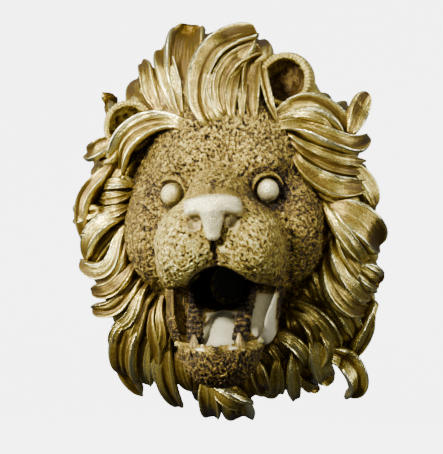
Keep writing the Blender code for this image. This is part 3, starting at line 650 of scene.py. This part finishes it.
def strand_relief(lock, share, side, half):
    """How far the strands of a lock stand out or lie back, in mm, and how pale they are, from 0 to 1."""
    rng = np.random.default_rng(int(abs(lock.root[0] * 131 + lock.root[1] * 17 + lock.tip[0] * 7)))
    count = max(2, round(lock.width / STRAND_WIDTH))
    edges = np.cumsum(rng.uniform(*STRAND_SPREAD, count))
    edges = np.concatenate([[0], edges]) / edges[-1] * 2 - 1
    drift = rng.uniform(-0.3, 0.3) * (share - 0.5) + 0.05 * np.sin(share * 9 + rng.uniform(0, 6))
    across = side + drift[:, None] * (1 - side**2)
    groove = np.zeros_like(across)
    ridge = np.zeros_like(across)
    for edge in edges[1:-1]:
        depth = rng.uniform(0.2, 1)
        start, end = rng.uniform(-0.3, 0.3), rng.uniform(0.75, 1.3)
        depth = depth * smooth_step(start, start + 0.2, share) * smooth_step(end, end - 0.2, share)
        away = (across - edge) * half / (GROOVE_HALF_WIDTH * np.clip(half / 2.5, 0.4, 1))
        line = depth[:, None] * np.exp(-(away**2))
        if rng.uniform() < RIDGE_SHARE:
            ridge = np.maximum(ridge, line)
        else:
            groove = np.maximum(groove, line)
    number = np.clip(np.searchsorted(edges, across) - 1, 0, count - 1)
    low, high = edges[number], edges[number + 1]
    within = np.clip((across - low) / (high - low), 0, 1) * 2 - 1
    step = rng.uniform(-0.25, 0.25, count)[number]
    rims = np.array(rng.uniform(0.3, 1, 2))[(side > 0).astype(int)]
    rim = rims * np.exp(-(((np.abs(side) - EDGE_PLACE) / EDGE_WIDTH) ** 2))
    rim = rim * smooth_step(0.05, 0.3, share)[:, None]
    out = (STRAND_BULGE + step) * (1 - within**4)
    out = out + ridge * RIDGE_HEIGHT + rim * EDGE_HEIGHT - groove * GROOVE_DEPTH
    # Painted shade: the hollowed face inside a lock's raised edges is painted darker, and more so at a blunt
    # tip.
    inner = 1 - smooth_step(EDGE_PLACE - 2.5 * EDGE_WIDTH, EDGE_PLACE, np.abs(side))
    tone = 0.76 + 0.34 * np.maximum(ridge, rim) - 0.85 * groove + 0.5 * step - 0.26 * inner
    tone -= CUP_SHADE * min(lock.blunt, 1) * inner * smooth_step(0.6, 0.92, share)[:, None]
    return out, np.clip(tone, 0, 1)


def lock_quads(rings, around):
    """Outward quads of a closed lock, its two ends filled across."""
    row, k = np.meshgrid(np.arange(rings - 1), np.arange(around), indexing="ij")
    row, k = row.ravel(), k.ravel()
    after = (k + 1) % around
    low, high = row * around, (row + 1) * around
    walls = np.stack([low + k, high + k, high + after, low + after], axis=1)
    i = np.arange(around // 2 - 1)
    cap = np.stack([i, i + 1, around - 2 - i, around - 1 - i], axis=1)
    return np.concatenate([walls, cap, cap[:, ::-1] + (rings - 1) * around])


def locks_skin(locks, rings, top_points, relief=1.0):
    """All the given locks as one skin."""
    around = top_points + LOCK_UNDER_POINTS
    forms = [lock_form(lock, rings, top_points, relief) for lock in locks]
    quads = lock_quads(rings, around)
    return Skin(
        np.concatenate([form[0].reshape(-1, 3) for form in forms]),
        np.concatenate([quads + k * rings * around for k in range(len(forms))]),
        np.concatenate([form[1].ravel() for form in forms]),
        hair_place=np.concatenate([form[2].reshape(-1, 3) for form in forms]),
    )


class Hollows:
    """The distance to the whole casting, for finding the places that stand in hollows."""

    def __init__(self, points, quads):
        grid = openvdb.FloatGrid.createLevelSetFromPolygons(
            points.astype(np.float32),
            quads=quads.astype(np.uint32),
            transform=openvdb.createLinearTransform(HOLLOW_VOXEL),
            halfWidth=HOLLOW_BAND,
        )
        low = np.floor(points.min(axis=0) / HOLLOW_VOXEL).astype(int) - HOLLOW_BAND - 2
        high = np.ceil(points.max(axis=0) / HOLLOW_VOXEL).astype(int) + HOLLOW_BAND + 2
        self.low = low
        self.table = np.zeros(high - low, np.float32)
        grid.copyToArray(self.table, ijk=tuple(int(v) for v in low))

    def openness(self, points, normals):
        """0 deep in a hollow to 1 where nothing stands near."""
        total = 0
        for reach in HOLLOW_REACHES:
            place = (points + normals * reach) / HOLLOW_VOXEL - self.low
            total = total + np.clip(corners_of(place, self.table) / reach, 0, 1)
        return total / len(HOLLOW_REACHES)


def face_field(right, forward, up):
    """Signed distance to the face, its mouth and the waterway."""
    point = face_point(right, forward, up)
    solid = body_field(right, forward, up)
    for mass in MASSES.values():
        solid = joined(solid, mass_field(point, mass), mass.blend)
    solid = clear_of_ears(solid, (right, forward, up))
    solid = carved(solid, mouth_field(point), MOUTH.blend)
    for hollow in HOLLOWS.values():
        solid = carved(solid, mass_field(point, hollow), hollow.blend)
    solid = carved(solid, rod_field((right, forward, up), WATERWAY), WATERWAY.blend)
    solid = joined(solid, nose_field(point), NOSE_PAD.blend)
    solid = joined(solid, eyelid_field(point), EYELID.blend)
    for feature in FEATURES.values():
        solid = joined(solid, mass_field(point, feature), feature.blend)
    for rod in RODS.values():
        solid = joined(solid, rod_field(point, rod), rod.blend)
    return solid


def near(field, reach):
    """1 on a form, falling to 0 at a distance from it."""
    return 1 - smooth_step(NEAR, reach, field)


def bare_face():
    """Points, quads and normals of the face without fur, its hidden back left off."""
    points, quads = skin(face_field, FACE_LOW, FACE_HIGH, FACE_VOXEL)
    middle = points[quads].mean(axis=1)
    off_bore = np.hypot(middle[:, 0] - BORE_RIGHT, middle[:, 2] - BORE_UP)
    hidden = (middle[:, 1] < FACE_BACK) & (off_bore > FACE_BORE_REACH)
    edge = FACE_VOXEL * 1.5
    for side in ((middle < np.array(FACE_LOW) + edge), (middle > np.array(FACE_HIGH) - edge)):
        hidden |= np.any(side, axis=1)
    points, quads = kept(points, quads, ~hidden)
    normals = vertex_normals(points, quads)
    points = points - normals * np.clip(face_field(*points.T), -FACE_STEP, FACE_STEP)[:, None]
    return points, quads, vertex_normals(points, quads)


class FacePlaces:
    """How far each point belongs to each part of the face, from 0 to 1."""

    def __init__(self, points):
        self.point = point = face_point(*points.T)
        off, forward, along = point
        self.right = fade("right side", points[:, 0])
        self.eye = near(mass_field(point, FEATURES["eyeball"]), 0.5)
        self.lid = near(eyelid_field(point), 0.6)
        stem = near(rod_field(point, RODS["stem of the nose"]), 0.8)
        self.nose = np.maximum(near(nose_field(point), 0.8), stem)
        self.bridge = fade("bridge, round the nose", nose_field(point)) * (1 - self.nose)
        self.bridge = self.bridge * fade("bridge, over the nose", along)
        self.nostril = near(mass_field(point, HOLLOWS["nostril"]), 0.8) * (1 - self.nose)
        self.crease = fade("crease", off) * (1 - self.nose) * (forward > CREASE_BACK)
        self.muzzle = fade("muzzle", mass_field(point, MASSES["upper lip"]))
        self.cheek = fade("cheek", off)
        round_eye = np.hypot(off - EYELID.centre[0], along - EYELID.centre[2])
        self.socket = fade("socket", round_eye) * (1 - self.eye) * (1 - self.lid)
        self.teeth = sum(near(rod_field(point, RODS[name]), 0.5) for name in TEETH)
        self.gum = near(rod_field(point, RODS["gum"]), 0.8)
        self.lip = near(rod_field(point, RODS["lower lip"]), 0.7)
        self.chin = fade("chin, down", along) * fade("chin, forward", forward) * (1 - self.lip)
        self.inside = fade("inside", openings_field(point))
        walls = self.inside * (1 - self.gum)
        self.web = near(mass_field(point, MASSES["web of the jaw"]), 1.5) * fade("web", along)
        # The right inner wall of the mouth, which is painted pale as painted light.
        self.panel = np.maximum(self.web, walls * fade("panel, inner edge", off)) * self.right
        self.panel = self.panel * fade("panel, down", along) * fade("panel, outer edge", off)
        tongue = near(mass_field(point, FEATURES["tongue"]), 0.8)
        self.floor = walls * fade("floor, down", along) * fade("floor, inward", off)
        self.floor = np.maximum(tongue, self.floor) * (1 - self.lip)
        smooth = (self.eye, self.lid, self.nose, self.nostril, tongue, self.teeth, self.lip, walls)
        self.smooth = np.maximum.reduce([*smooth, 0.85 * self.panel, 0.8 * self.bridge])
        self.smooth = np.clip(self.smooth, 0, 1)


def face_fur(points, normals):
    """Grain of the fur, -1 to 1, drawn out along the lie of the hair."""
    flow = points - np.array(FUR_CENTRE)
    flow -= normals * np.sum(flow * normals, axis=1)[:, None]
    flow /= np.maximum(np.linalg.norm(flow, axis=1), 1e-6)[:, None]
    fine = sum(grain(points + flow * step, FUR_GRAIN, 1) for step in FUR_STEPS) / len(FUR_STEPS)
    return np.clip(fine * FUR_CONTRAST + 0.12 * grain(points, FUR_GRAIN * 2.2, 2), -1, 1)


def face_skin():
    """The face with its fur, the small teeth of its gums, and its paint."""
    points, quads, normals = bare_face()
    at = FacePlaces(points)
    off, forward, along = at.point
    fur = face_fur(points, normals)
    beads = np.clip(0.5 + 0.4 * np.sin(along * 2 * np.pi / GUM_BEAD) + 0.5 * grain(points, 1.4, 3), 0, 1)
    relief = fur * FUR_RELIEF * (1 - at.smooth) + beads * at.gum * GUM_RELIEF
    points = points + normals * relief[:, None]

    # Painted shade: what lies round the deep throat is painted black.
    out, rise = points[:, 0] - THROAT.right, points[:, 2] - THROAT.up
    throat = fade("black, round the throat", np.hypot(out / THROAT.half_width, rise / THROAT.half_height))
    black = np.maximum.reduce([at.inside, at.gum, at.web]) * throat * fade("black, back", forward)
    height = (0.5 + 0.5 * fur) * (1 - at.smooth)
    height = height + (0.75 + 0.3 * np.maximum(at.nose, at.eye)) * at.smooth
    # Painted shade: darker inside the mouth, in the groove under the nose, on the cheeks, round the eye
    # sockets (most on the right), on the gums between their beads and on the web of the jaw (more on the
    # right). The chin is painted darker too.
    shades = (
        black,
        0.45 * at.inside * (1 - at.floor) * (1 - at.panel),
        0.55 * at.crease,
        (0.22 + 0.04 * at.right) * at.cheek,
        0.5 * at.chin,
        (0.2 + 0.6 * at.right) * at.socket,
        (0.8 - 0.6 * beads) * at.gum,
        (0.5 + 0.2 * at.right) * at.web * (1 - at.inside) * (1 - at.panel),
    )
    for shade in shades:
        height = height * (1 - shade)
    # Painted light: the muzzle's fur is painted paler, less so on the right.
    furred = at.muzzle * (1 - at.smooth) * (1 - at.crease) * (height > FUR_LEAST)
    height = height + MUZZLE_PAINTED_LIGHT * (1 - 0.4 * at.right) * furred
    height = height * (1 + 0.3 * at.lip) * (1 - 0.3 * at.bridge)
    # Painted light: the right inner wall of the mouth (the panel) is painted pale, bright and free of wash,
    # as if lit, and the right eye is painted paler than the left as a painted reflection.
    height = np.maximum.reduce([height, at.panel, 1.1 * at.floor * (1 - black)])
    pale = (0.25 + 0.35 * at.right) * at.eye + 0.5 * at.nose + 0.6 * at.nostril
    pale = pale + 0.9 * at.floor + 0.3 * at.teeth + 0.9 * at.panel
    clean = 0.7 * (at.eye + at.nose) + 0.6 * at.nostril + 0.9 * at.floor + at.panel + 0.5 * at.lip
    return Skin(points, quads, height, np.clip(pale, 0, 1), np.clip(clean, 0, 1) * (1 - black))


def ear_skin(ear, clean, tone):
    """One ear: fur stands in its dish, and its rim is finely notched."""
    reach = ear.radius + EAR_MARGIN
    centre = np.array(ear.centre)
    points, quads = skin(lambda *p: ear_field(p, ear), centre - reach, centre + reach, EAR_VOXEL)
    faces, middle, across = ear_rim(ear)
    offset, along, out = ring_place(points.T, middle, faces)
    in_cup = (1 - smooth_step(across - 2.5, across - 1.0, out)) * fade("ear's dish", along)
    tufts = np.clip(grain(points, EAR_TUFT, 5) * 1.6, -1, 1)
    notches = np.sin(np.arctan2(offset[2], offset[0]) * EAR_NOTCHES)
    notches = notches * (1 - in_cup) * fade("ear's notches", along)
    relief = tufts * EAR_RELIEF * in_cup + notches * EAR_NOTCH_DEPTH
    points = points + vertex_normals(points, quads) * relief[:, None]
    # The right ear's lower tone, and the smaller lift of its wash, are painted shade.
    height = tone * (1 + tufts) * in_cup + (0.75 + 0.25 * notches) * (1 - in_cup)
    return Skin(points, quads, height, clean=clean * in_cup)


def bare_body_field(right, forward, up):
    """The body, flat at the wall and open round the waterway."""
    bore = np.hypot(right - BORE_RIGHT, up - BORE_UP) - WATERWAY_RADIUS
    return np.maximum(np.maximum(body_field(right, forward, up), -forward), -bore)


def body_skin():
    """The body between mane and wall, combed under the locks, without what the face covers."""
    points, quads = skin(bare_body_field, BODY_LOW, BODY_HIGH, BODY_VOXEL)
    right, forward, up = points[quads].mean(axis=1).T
    covered = face_field(right, forward, up) < -BODY_COVERED
    covered |= openings_field(face_point(right, forward, up)) < BODY_OPEN
    covered &= forward > BODY_BACK
    points, quads = kept(points, quads, ~covered)
    right, forward, up = points.T
    wander = 0.7 * grain(points, 9.0, 7) + 0.25 * grain(points, 3.5, 8)
    rise = up - COMB_CENTRE_UP
    across = np.arctan2(rise, right) * COMB_COUNT / (2 * np.pi) + COMB_SWIRL * np.hypot(right, rise) + wander
    comb = np.abs(np.sin(np.pi * across))
    free = fade("comb", forward)
    points = points + vertex_normals(points, quads) * ((comb - 0.6) * COMB_DEPTH * free)[:, None]
    return Skin(points, quads, 0.35 + 0.55 * comb * free)


def placed(name, data):
    """A new object in the scene that holds the given data."""
    made = bpy.data.objects.new(name, data)
    bpy.context.scene.collection.objects.link(made)
    return made


def piece_object(name, row_points, quads, values, material):
    """A smooth piece of the casting. The fit turned forward into -Y, so the quads are turned round."""
    used, quads = np.unique(quads, return_inverse=True)
    quads = quads.reshape(-1, 4)
    mesh = bpy.data.meshes.new(name)
    mesh.vertices.add(len(used))
    mesh.vertices.foreach_set("co", row_points[used].astype(np.float32).ravel())
    mesh.loops.add(quads.size)
    mesh.loops.foreach_set("vertex_index", quads[:, ::-1].astype(np.int32).ravel())
    mesh.polygons.add(len(quads))
    mesh.polygons.foreach_set("loop_start", np.arange(0, quads.size, 4, dtype=np.int32))
    mesh.update(calc_edges=True)
    mesh.shade_smooth()
    for key, value in values.items():
        kind, field = ("FLOAT_VECTOR", "vector") if value.ndim == 2 else ("FLOAT", "value")
        attribute = mesh.attributes.new(key, kind, "POINT")
        attribute.data.foreach_set(field, value[used].astype(np.float32).ravel())
    mesh.materials.append(material)
    made = placed(name, mesh)
    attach(made, "root")


class Fit:
    """Moves and stretches the working frame so that the whole fills the overall box."""

    def __init__(self, clouds):
        low = np.min([points.min(axis=0) for points in clouds], axis=0)
        high = np.max([points.max(axis=0) for points in clouds], axis=0)
        self.centre = (low + high) / 2 * (1, 0, 1)
        width, depth, height = OVERALL
        self.stretch = np.array([width / (high[0] - low[0]), depth / high[1], height / (high[2] - low[2])])

    def to_row(self, points):
        right, forward, up = ((points - self.centre) * self.stretch * MM).T
        return np.stack([right, -np.maximum(forward, 0), up], axis=1)


def whole_head_field(right, forward, up):
    """The face and both ears."""
    solid = face_field(right, forward, up)
    for ear in EARS:
        solid = joined(solid, ear_field((right, forward, up), ear), EAR_BLEND)
    return solid


class Nodes:
    """Shader nodes of one material or world, made and joined with few words."""

    def __init__(self, owner):
        owner.use_nodes = True
        self.owner = owner
        self.tree = owner.node_tree
        self.tree.nodes.clear()

    def add(self, kind, inputs=None, **settings):
        node = self.tree.nodes.new("ShaderNode" + kind)
        for key, value in settings.items():
            setattr(node, key, value)
        for key, value in (inputs or {}).items():
            socket = node.inputs[key]
            if isinstance(value, bpy.types.NodeSocket):
                self.tree.links.new(value, socket)
            else:
                socket.default_value = value
        return node

    def math(self, operation, first, second, clamp=False):
        return self.add("Math", {0: first, 1: second}, operation=operation, use_clamp=clamp).outputs[0]

    def value(self, name):
        return self.add("Attribute", attribute_name=name).outputs["Fac"]

    def ramp(self, factor, stops):
        node = self.add("ValToRGB", {"Fac": factor})
        while len(node.color_ramp.elements) < len(stops):
            node.color_ramp.elements.new(0.5)
        for element, (place, colour) in zip(node.color_ramp.elements, stops):
            element.position = place
            element.color = (*colour, 1)
        return node.outputs["Color"]

    def mapped(self, value, low, high, start=0.0, end=1.0):
        """A value from start to end, carried over to low to high."""
        inputs = {"Value": value, "From Min": start, "From Max": end, "To Min": low, "To Max": high}
        return self.add("MapRange", inputs).outputs["Result"]

    def mixed(self, share, first, second):
        return self.add("Mix", {"Factor": share, 6: first, 7: second}, data_type="RGBA").outputs[2]

    def noise(self, vector, scale, detail, roughness):
        inputs = {"Vector": vector, "Scale": scale, "Detail": detail, "Roughness": roughness}
        return self.add("TexNoise", inputs).outputs["Fac"]

    def finished(self, inputs):
        """The material, with a principled surface of these inputs."""
        shader = self.add("BsdfPrincipled", inputs)
        self.add("OutputMaterial", {"Surface": shader.outputs["BSDF"]})
        return self.owner


# Linear colours of the paint, from the bottom of the hollows to the rubbed high places
PAINT = (
    (0.00, (0.004, 0.002, 0.0002)),
    (0.07, (0.045, 0.024, 0.003)),
    (0.22, (0.125, 0.076, 0.009)),
    (0.42, (0.290, 0.205, 0.028)),
    (0.62, (0.480, 0.395, 0.085)),
    (0.82, (0.700, 0.640, 0.250)),
    (1.00, (0.960, 0.930, 0.560)),
)
PALE_PAINT = (
    (0.00, (0.020, 0.012, 0.003)),
    (0.35, (0.240, 0.190, 0.075)),
    (0.65, (0.560, 0.520, 0.310)),
    (1.00, (0.900, 0.880, 0.700)),
)

# The paints. Wash is how much the hollows darken one, relief how pale its lowest and highest places are,
# least the darkest that it gets, and patches and specks how far it varies. Grain_bump is how high its finest
# relief stands, in metres, roughness how dull its darkest and palest places are, and lines how fine its
# hairs are drawn.
Paint = namedtuple("Paint", "wash relief least patches specks grain_bump roughness lines", defaults=(None,))
HAIR_LINES = (1.3, 0.06, 1.0)
PAINTS = {
    "furred_gold": Paint(0.9, (-0.12, 0.76), 0.0, 0.14, 0.75, 0.0009, (0.42, 0.26)),
    "ear_gold": Paint(0.7, (0.0, 0.80), 0.05, 0.20, 0.4, 0.0008, (0.42, 0.28)),
    "hair_gold": Paint(1.2, (-0.16, 1.0), 0.14, 0.32, 0.55, 0.0004, (0.36, 0.20), HAIR_LINES),
    "shaded_hair_gold": Paint(0.8, (0.0, 1.0), 0.20, 0.30, 0.45, 0.0004, (0.36, 0.20), HAIR_LINES),
    "plain_gold": Paint(0.6, (0.15, 0.8), 0.2, 0.20, 0.5, 0.0003, (0.42, 0.28)),
}
PAINTED = {"face": "furred_gold", "left_ear": "ear_gold", "right_ear": "ear_gold", "body": "plain_gold"}
PAINTED["mane_lower_right"] = "shaded_hair_gold"  # and all else is in hair_gold


def gold(name, paint):
    """Antique gold over brown, varied over patches, in specks and, on hair, along its fine lines."""
    n = Nodes(bpy.data.materials.new(name))
    place = n.add("TexCoord").outputs["Object"]
    mottle = n.noise(place, 120, 4, 0.6)
    speck = n.noise(place, 1700, 2, 0.7)
    tone = n.mapped(n.value("height"), *paint.relief)
    depth = n.math("MULTIPLY", n.math("POWER", n.value("openness"), paint.wash), tone)
    pale = n.value("pale")
    speckle = n.math("MULTIPLY", n.mapped(speck, -paint.specks, paint.specks), n.mapped(pale, 1.0, 0.2))
    speckle = n.math("ADD", speckle, n.mapped(mottle, -paint.patches, paint.patches))
    lively = n.math("MULTIPLY", n.value("height"), 6.0, clamp=True)
    depth = n.math("ADD", depth, n.math("MULTIPLY", speckle, lively))
    relief = speck
    if paint.lines:
        hair = n.add("Attribute", attribute_name="hair_place").outputs["Vector"]
        drawn = n.add("VectorMath", {0: hair, 1: paint.lines}, operation="MULTIPLY")
        streak = n.noise(drawn.outputs["Vector"], 1.0, 3, 0.6)
        number = n.add("SeparateXYZ", {"Vector": hair}).outputs["Z"]
        own_tone = n.add("TexWhiteNoise", {"W": number}, noise_dimensions="1D").outputs["Value"]
        depth = n.math("ADD", depth, n.mapped(streak, -0.5, 0.5))
        depth = n.math("ADD", depth, n.mapped(own_tone, -0.13, 0.13))
        relief = n.math("ADD", n.math("MULTIPLY", speck, 0.4), streak)
    depth = n.math("MAXIMUM", depth, paint.least, clamp=True)
    bump = {"Height": relief, "Strength": n.mapped(pale, 1.0, 0.2), "Distance": paint.grain_bump}
    rough = n.mapped(depth, *paint.roughness)
    return n.finished(
        {
            "Base Color": n.mixed(pale, n.ramp(depth, PAINT), n.ramp(depth, PALE_PAINT)),
            "Metallic": n.math("MULTIPLY", n.mapped(depth, 0.6, 1.0), n.mapped(pale, 1.0, 0.35)),
            "Specular IOR Level": n.math("MULTIPLY", lively, 0.5),
            "Roughness": n.math("SUBTRACT", rough, n.math("MULTIPLY", pale, 0.05)),
            "Normal": n.add("Bump", bump).outputs["Normal"],
        }
    )


# Camera, matched to the photograph: degrees, and metres
CAMERA_AZIMUTH = 5.0
CAMERA_ELEVATION = 2.0
CAMERA_ROLL = 1.0
CAMERA_DISTANCE = 0.42
CAMERA_TARGET = (-0.0018, -0.030, -0.0009)
FRAME_HEIGHT = 0.1621  # what the frame's height spans at the target

# Light: area lamps aimed at the head, and a sky that brightens with height
Lamp = namedtuple("Lamp", "place size power colour")
WARM = (1, 0.96, 0.88)
LAMPS = {
    "key": Lamp((-0.42, -0.64, 0.38), 0.10, 29, (1, 0.97, 0.89)),
    "top": Lamp((0.0, -0.10, 0.80), 0.30, 7, WARM),
    "left": Lamp((-0.80, -0.05, 0.10), 0.30, 11, WARM),
    "right": Lamp((0.80, -0.12, 0.12), 0.30, 4.5, (1, 1, 1)),
    "front": Lamp((0.10, -0.90, 0.02), 0.25, 2.5, (1, 0.97, 0.90)),
}
LAMP_TARGET = (0, -0.03, 0)
SKY_STRENGTH = (0.05, 0.24)
SKY_HEIGHTS = (-0.3, 0.8)
SKY_COLOUR = (0.9, 0.93, 1, 1)

# Stage: a round floor that rises into a wall, as (out, up) in metres, and a dark disc behind the waterway as
# painted shade
FLOOR_PROFILE = ((1.2, -0.30), (1.45, -0.27), (1.65, -0.17), (1.78, 0.0), (1.82, 0.25), (1.82, 2.2))
FLOOR_AROUND = 96
FLOOR_PAINT = {
    "Base Color": (0.93, 0.93, 0.93, 1),
    "Roughness": 0.9,
    "Emission Color": (1, 1, 1, 1),
    "Emission Strength": 5.0,
}
DARK_AROUND = 48
DARK_SPARE = 1.15  # its radius as a share of the waterway's
DARK_BEHIND = 0.0015
DARK_PAINT = {"Base Color": (0.004, 0.003, 0.002, 1), "Roughness": 1.0}


def aim(thing, place, target):
    way = Vector(place) - Vector(target)
    thing.location = place
    thing.rotation_mode = "QUATERNION"
    thing.rotation_quaternion = way.to_track_quat("Z", "Y")


def add_camera():
    data = bpy.data.cameras.new("camera")
    camera = placed("camera", data)
    a, e = math.radians(CAMERA_AZIMUTH), math.radians(CAMERA_ELEVATION)
    back = Vector((math.sin(a) * math.cos(e), -math.cos(a) * math.cos(e), math.sin(e)))
    target = Vector(CAMERA_TARGET)
    aim(camera, target + back * CAMERA_DISTANCE, target)
    turn = Matrix.Rotation(math.radians(CAMERA_ROLL), 4, "Z").to_quaternion()
    camera.rotation_quaternion = camera.rotation_quaternion @ turn
    data.lens = data.sensor_width * CAMERA_DISTANCE / FRAME_HEIGHT
    data.clip_start = 0.01
    data.clip_end = 20
    bpy.context.scene.camera = camera


def add_lamps():
    for name, lamp in LAMPS.items():
        data = bpy.data.lights.new(name, "AREA")
        data.size = lamp.size
        data.energy = lamp.power
        data.color = lamp.colour
        aim(placed(name, data), lamp.place, LAMP_TARGET)


def add_sky():
    n = Nodes(bpy.data.worlds.new("studio"))
    way = n.add("TexCoord").outputs["Generated"]
    up = n.add("SeparateXYZ", {"Vector": way}).outputs["Z"]
    sky = n.add("Background", {"Color": SKY_COLOUR, "Strength": n.mapped(up, *SKY_STRENGTH, *SKY_HEIGHTS)})
    n.add("OutputWorld", {"Surface": sky.outputs["Background"]})
    bpy.context.scene.world = n.owner


def ring_points(around):
    """Points of a circle of radius 1."""
    turns = [2 * math.pi * k / around for k in range(around)]
    return [(math.cos(turn), math.sin(turn)) for turn in turns]


def stage_object(name, points, faces, paint_name, paint):
    mesh = bpy.data.meshes.new(name)
    mesh.from_pydata(points, [], faces)
    mesh.shade_smooth()
    mesh.materials.append(Nodes(bpy.data.materials.new(paint_name)).finished(paint))
    made = placed(name, mesh)
    return made


def add_floor():
    """A pale floor that rises into a round wall far from the object."""
    points = [(r * x, r * y, z) for r, z in FLOOR_PROFILE for x, y in ring_points(FLOOR_AROUND)]
    hub = len(points)
    points.append((0, 0, FLOOR_PROFILE[0][1]))
    nexts = [(k, (k + 1) % FLOOR_AROUND) for k in range(FLOOR_AROUND)]
    faces = [(hub, k, after) for k, after in nexts]
    for row in range(len(FLOOR_PROFILE) - 1):
        low, high = row * FLOOR_AROUND, (row + 1) * FLOOR_AROUND
        faces += [(low + k, high + k, high + after, low + after) for k, after in nexts]
    floor = stage_object("floor", points, faces, "pale_floor", FLOOR_PAINT)
    floor.visible_glossy = False
    floor.visible_diffuse = False


def add_painted_shade_behind_the_pipe(middle):
    """A dark disc as painted shade: what is seen through the waterway is the shade behind the casting, and no
    part of it.
    """
    radius = WATERWAY_RADIUS * DARK_SPARE * MM
    right, _, up = middle
    points = [(right + radius * x, DARK_BEHIND, up + radius * z) for x, z in ring_points(DARK_AROUND)]
    stage_object("painted_shade_behind_waterway", points, [tuple(range(DARK_AROUND))], "darkness", DARK_PAINT)


def head_hollows():
    """The hollows of the whole head, from a coarse form of it."""
    locks = locks_skin((*MANE, *rim_locks()), COARSE_RINGS, COARSE_TOP_POINTS, 0.0)
    points, quads = skin(whole_head_field, WHOLE_LOW, WHOLE_HIGH, WHOLE_VOXEL)
    quads = np.concatenate([quads, locks.quads + len(points)])
    return Hollows(np.concatenate([points, locks.points]), quads)


def all_skins():
    skins = {"face": face_skin()}
    for side, ear, clean, tone in zip(("left", "right"), EARS, EAR_UNWASHED_AND_LIT, EAR_TONE):
        skins[side + "_ear"] = ear_skin(ear, clean, tone)
    for name, locks in REGIONS.items():
        skins[name] = locks_skin(locks, LOCK_RINGS, LOCK_TOP_POINTS)
    skins["mane_at_the_wall"] = locks_skin(list(rim_locks()), RIM_RINGS, RIM_TOP_POINTS)
    skins["body"] = body_skin()
    return skins


def parts_of(name, form):
    """The pieces that a skin is made as. The face is parted by height."""
    if name != "face":
        return {name: form.quads}
    up = form.points[form.quads[:, 0], 2]
    section = (up < FACE_CUTS[0]).astype(int) + (up < FACE_CUTS[1])
    return {part: form.quads[section == number] for number, part in enumerate(FACE_PARTS)}


def main():
    hollows = head_hollows()
    skins = all_skins()
    fit = Fit([form.points for form in skins.values()])
    materials = {name: gold(name, paint) for name, paint in PAINTS.items()}
    for name, form in skins.items():
        openness = hollows.openness(form.points, vertex_normals(form.points, form.quads))
        values = {
            "openness": np.maximum(openness, form.clean),
            "height": form.height,
            "pale": form.pale + np.zeros(len(form.points)),
        }
        if form.hair_place is not None:
            values["hair_place"] = form.hair_place
        material = materials[PAINTED.get(name, "hair_gold")]
        for part, quads in parts_of(name, form).items():
            piece_object(part, fit.to_row(form.points), quads, values, material)
    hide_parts("lion_head")
    add_floor()
    add_camera()
    add_sky()
    add_lamps()
    add_painted_shade_behind_the_pipe(fit.to_row(np.array([[BORE_RIGHT, 0.0, BORE_UP]]))[0])


main()
